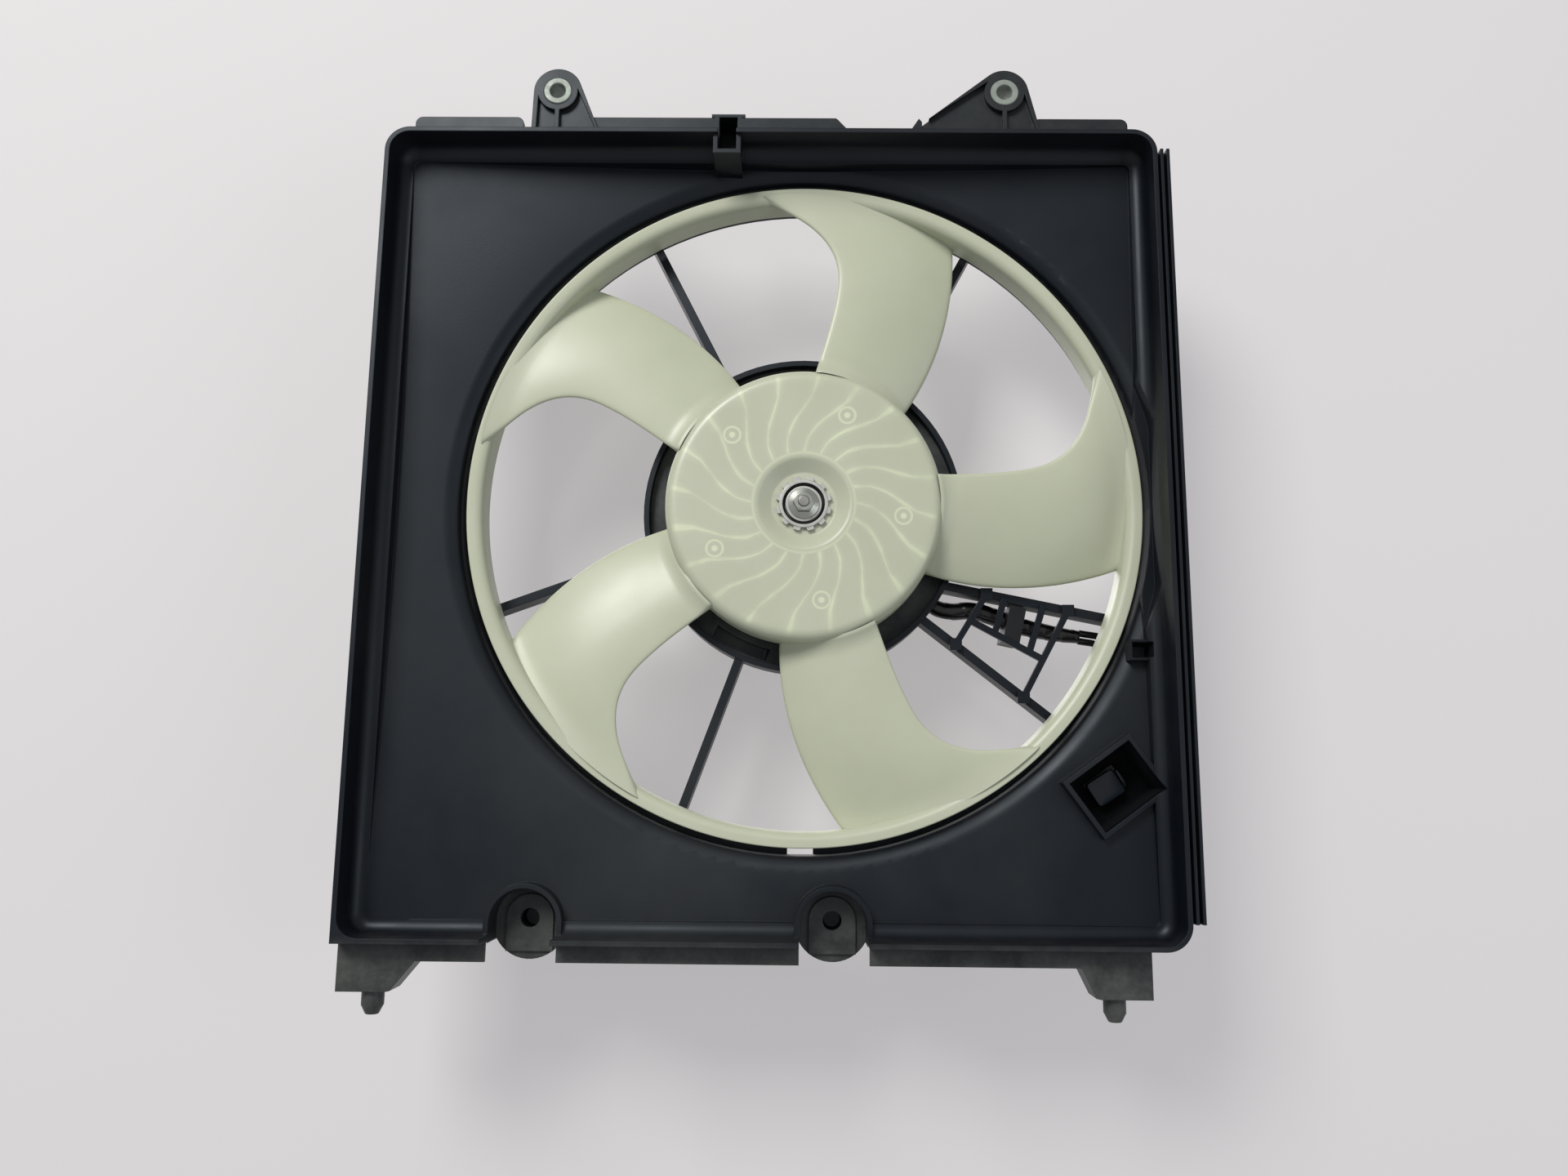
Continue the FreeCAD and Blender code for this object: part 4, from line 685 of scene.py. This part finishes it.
steel = metal("ground_steel", (0.30, 0.30, 0.29), (0.30, 0.45))
laminations = metal("lamination_steel", (0.30, 0.30, 0.31), (0.40, 0.55))
finishes = {
    "tab_bushings": metal("zinc_plating", (0.30, 0.33, 0.30), (0.55, 0.70)),
    # The insert's groove, between 9.8 and 11.4 mm from the axis, gets painted shade.
    "hub_insert": painted_groove_shade(metal("insert_plating", (0.42, 0.42, 0.40), (0.42, 0.58), 0.8), 0.0098, 0.0114,
                          (0.030, 0.030, 0.032)),
    "flange_nut": metal("nut_plating", (0.36, 0.37, 0.34), (0.26, 0.42)),
    "hub_washer": metal("washer_plating", (0.30, 0.30, 0.30), (0.34, 0.50)),
    "motor_shaft": ridged("shaft_thread", steel, 0.001, 0.00025),
    "motor_plate": metal("plate_plating", (0.48, 0.49, 0.47), (0.32, 0.48), grain=500.0),
    "motor_can": metal("can_paint", (0.055, 0.057, 0.060), (0.36, 0.52), grain=400.0, depth=0.00005),
    "motor_screws": metal("screw_plating", (0.52, 0.53, 0.48), (0.25, 0.40)),
    "front_bearing": steel, "rear_bearing": steel,
    "armature_core": ridged("lamination_stack", laminations, 0.001, 0.0002),
    "armature_winding": metal("winding_copper", (0.62, 0.26, 0.12), (0.28, 0.42)),
    "commutator": metal("commutator_copper", (0.66, 0.33, 0.18), (0.25, 0.40)),
    "magnets": dull("ferrite", (0.030, 0.030, 0.032), (0.5, 0.7)),
    "brush_card": dull("brush_card", (0.16, 0.10, 0.05), (0.45, 0.6)),
    "brushes": dull("carbon", (0.020, 0.020, 0.021), (0.45, 0.6)),
    "grommet": dull("rubber", (0.012, 0.012, 0.013), (0.55, 0.75)),
    "lead_wires": dull("wire_skin", (0.004, 0.004, 0.005), (0.24, 0.36)),
    "lead_clip": dull("clip_plastic", (0.004, 0.005, 0.006), (0.30, 0.45), specular=0.3),
    "connector_body": dull("connector_plastic", (0.010, 0.012, 0.016), (0.34, 0.48), specular=0.4),
    "connector_lock": dull("lock_plastic", (0.010, 0.022, 0.040), (0.28, 0.42)),
    "connector_terminals": metal("terminal_tin", (0.10, 0.10, 0.10), (0.35, 0.50)),
    "lead_guard": plastics["guard"],
}
for node, finish in finishes.items():
    for material_slot in nodes[node].material_slots:
        material_slot.material = finish
print("finished nodes:", len(finishes))

# %% [markdown]
# ## The taped lead
# The two motor wires are wrapped in cloth-backed tape.  Each turn of the tape lies half over the
# last, so the wrap is a tube whose radius steps once round each turn: the step follows the
# fraction of (turns along the lead + angle / 2 pi).

# %% Tape
LEAD_WAY = np.array([(41.0, 67.2, -27.6), (74.61, 67.2, -50.33), (97.0, 66.8, -52.2),
                     (119.0, 65.8, -60.0), (137.0, 65.6, -64.0), (153.0, 66.2, -66.2)])
LEAD_R, TAPE_PITCH, TAPE_STEP = 4.6, 9.0, 0.30
LEAD_THICK = np.array([(0.0, 0.96), (0.30, 0.98), (0.48, 1.10), (0.70, 1.08), (0.88, 0.98), (1.0, 0.80)])


def smooth_way(marks, per_run=24):
    """A Catmull-Rom curve: between b and c the slope at b is (c - a) / 2 and at c it is (d - b) / 2."""
    ends = np.concatenate([[2 * marks[0] - marks[1]], marks, [2 * marks[-1] - marks[-2]]])
    u = np.linspace(0, 1, per_run, endpoint=False)[:, None]
    runs = []
    for a, b, c, d in zip(ends, ends[1:], ends[2:], ends[3:]):
        runs.append(0.5 * (2 * b + (c - a) * u + (2 * a - 5 * b + 4 * c - d) * u ** 2
                           + (3 * b - a - 3 * c + d) * u ** 3))
    return np.concatenate(runs + [marks[-1:]])


def wrapped_tube(way, radius, sides=48):
    """Tube about a path; its radius follows LEAD_THICK and steps once in each turn of the tape."""
    step = np.linalg.norm(np.diff(way, axis=0), axis=1)
    along = np.concatenate([[0.0], np.cumsum(step)])
    ahead = np.gradient(way, axis=0)
    ahead /= np.linalg.norm(ahead, axis=1)[:, None]
    side = np.cross(ahead, (0.0, 1.0, 0.0))
    side /= np.linalg.norm(side, axis=1)[:, None]
    over = np.cross(side, ahead)
    angle = np.linspace(0, 2 * np.pi, sides, endpoint=False)[None]
    share = (along / along[-1])[:, None]
    turn = (along[:, None] / TAPE_PITCH + angle / (2 * np.pi)) % 1.0
    crease = 0.07 * np.sin(5 * angle + along[:, None] / 5.0) * np.sin(along[:, None] / 3.1)
    r = radius * np.interp(share, LEAD_THICK[:, 0], LEAD_THICK[:, 1]) - TAPE_STEP * turn + crease
    ring = side[:, None] * np.cos(angle)[..., None] + over[:, None] * np.sin(angle)[..., None]
    points = way[:, None] + ring * r[..., None]
    start, end = np.repeat(way[:1, None], sides, 1), np.repeat(way[-1:, None], sides, 1)
    return np.concatenate([start, points, end]) / 1000


wrap_tape = dull("wrap_tape", (0.0045, 0.0045, 0.005), (0.20, 0.36), grain=260.0, depth=0.0002)
taped = grid_piece("lead_wrap", wrapped_tube(smooth_way(LEAD_WAY), LEAD_R)[:, ::-1])
dress(taped, wrap_tape, "frame", "tape", "motor_lead")
print("lead wrap:", len(taped.data.polygons), "faces, box", [round(v, 4) for v in taped.dimensions])

# %% [markdown]
# ## The connector's face
# A blue-black block stands in front of the connector's window, with a thin upright tongue
# beside it.  Both are rounded boxes: |u / a| ^ 8 + |v / b| ^ 8 = 1 about the window's middle.

# %% Connector face
WINDOW_MIDDLE, WINDOW_TURN = (160.7, -147.8), math.radians(32.3)
FACE_Y, FACE_BACK = 41.6, 44.95


def rounded_block(name, u, v, half_u, half_v, front, back, sides=64):
    """A closed block with a superellipse outline and an eased front edge, in the window's axes."""
    t = np.linspace(0, 2 * np.pi, sides, endpoint=False)
    outline = np.stack([half_u * np.sign(np.cos(t)) * np.abs(np.cos(t)) ** 0.25,
                        half_v * np.sign(np.sin(t)) * np.abs(np.sin(t)) ** 0.25], -1)
    cos, sin = math.cos(WINDOW_TURN), math.sin(WINDOW_TURN)
    loops = []
    for shrink, y in ((0.0, front), (0.93, front), (0.98, front + 0.12), (1.0, front + 0.4),
                      (1.0, back), (0.0, back)):
        flat = outline * shrink + np.array([u, v])
        x = WINDOW_MIDDLE[0] + flat[:, 0] * cos - flat[:, 1] * sin
        z = WINDOW_MIDDLE[1] + flat[:, 0] * sin + flat[:, 1] * cos
        loops.append(np.stack([x, np.full(sides, y), z], -1))
    return grid_piece(name, np.array(loops) / 1000)


face_blue = dull("blanking_plastic", (0.0035, 0.010, 0.020), (0.26, 0.40), specular=0.40)
face = rounded_block("connector_face", -1.6, 0.0, 8.2, 6.9, FACE_Y, FACE_BACK)
tongue = rounded_block("connector_tongue", 8.0, 0.6, 0.7, 4.4, FACE_Y + 0.2, FACE_BACK)
for piece in (face, tongue):
    dress(piece, face_blue, "frame", "lock_plastic")
print("connector face:", len(face.data.polygons) + len(tongue.data.polygons), "faces")

# %% [markdown]
# ## Blind recesses
# The two screw lugs, the vent and the support's pockets end in closed recesses, so they read as
# dark.  Each is a thin shell behind its hole: a turned cup for a lug, a shallow hood for the
# vent, and an arc plate for a pocket.

# %% Recess shells
LUG_PLACES = [(-0.13797, -0.2165), (0.01593, -0.2165)]
lug_cup = rounded_profile([(0.1, 46.0), (4.9, 46.0, 1.0), (4.9, 38.02), (7.2, 38.02), (7.0, 47.6, 1.4),
                           (0.1, 47.6)], steps=5)
for k, (x, z) in enumerate(LUG_PLACES):
    cup = grid_piece("lug_cup_%d" % (k + 1), turn_profile(lug_cup, 36) + np.array([x, 0.0, z]))
    dress(cup, plastics["guard"], "frame", "shroud_plastic")


def hood(name, centre, half, profile):
    """A closed hood behind a rectangular hole: each (grow, y) is a rectangle half + grow, at y."""
    corners = np.array([(-1, -1), (1, -1), (1, 1), (-1, 1)], float)
    loops = []
    for grow, y in profile:
        reach = np.maximum(np.array(half) + grow, 0.01)
        flat = np.array(centre) + corners * reach
        loops.append(np.stack([flat[:, 0], np.full(4, y), flat[:, 1]], -1) / 1000)
    return grid_piece(name, np.array(loops)[::-1])


vent_hood = hood("vent_hood", (175.5, -78.0), (5.0, 4.0), [
    (-9, 33.0), (-1.2, 33.0), (0.0, 31.5), (0.05, 22.3), (1.4, 22.3), (1.4, 32.6), (0.0, 34.4), (-9, 34.4)])
dress(vent_hood, plastics["guard"], "frame", "shroud_plastic")


def arc_plate(name, inner, outer, start, end, front, back, count=24):
    """Closed plate between two radii and two angles about the fan's axis, in mm and degrees."""
    t = np.radians(np.linspace(start, end, count))[:, None]
    r = np.array([inner, outer, outer, inner])[None]
    y = np.broadcast_to(np.array([front, front, back, back])[None], (count, 4))
    walls = np.stack([r * np.cos(t), y, r * np.sin(t)], -1)
    ends = walls.mean(axis=1, keepdims=True).repeat(4, axis=1)
    return grid_piece(name, np.concatenate([ends[:1], walls, ends[-1:]]) / 1000)


for k, middle in enumerate((5.0, 125.0, 245.0)):
    floor = arc_plate("pocket_floor_%d" % (k + 1), 76.5, 86.2, middle - 16.5, middle + 16.5, 64.2, 65.8)
    dress(floor, plastics["shroud"], "frame", "shroud_plastic")
print("recess shells: 2 lug cups, the vent's hood and 3 pocket floors")
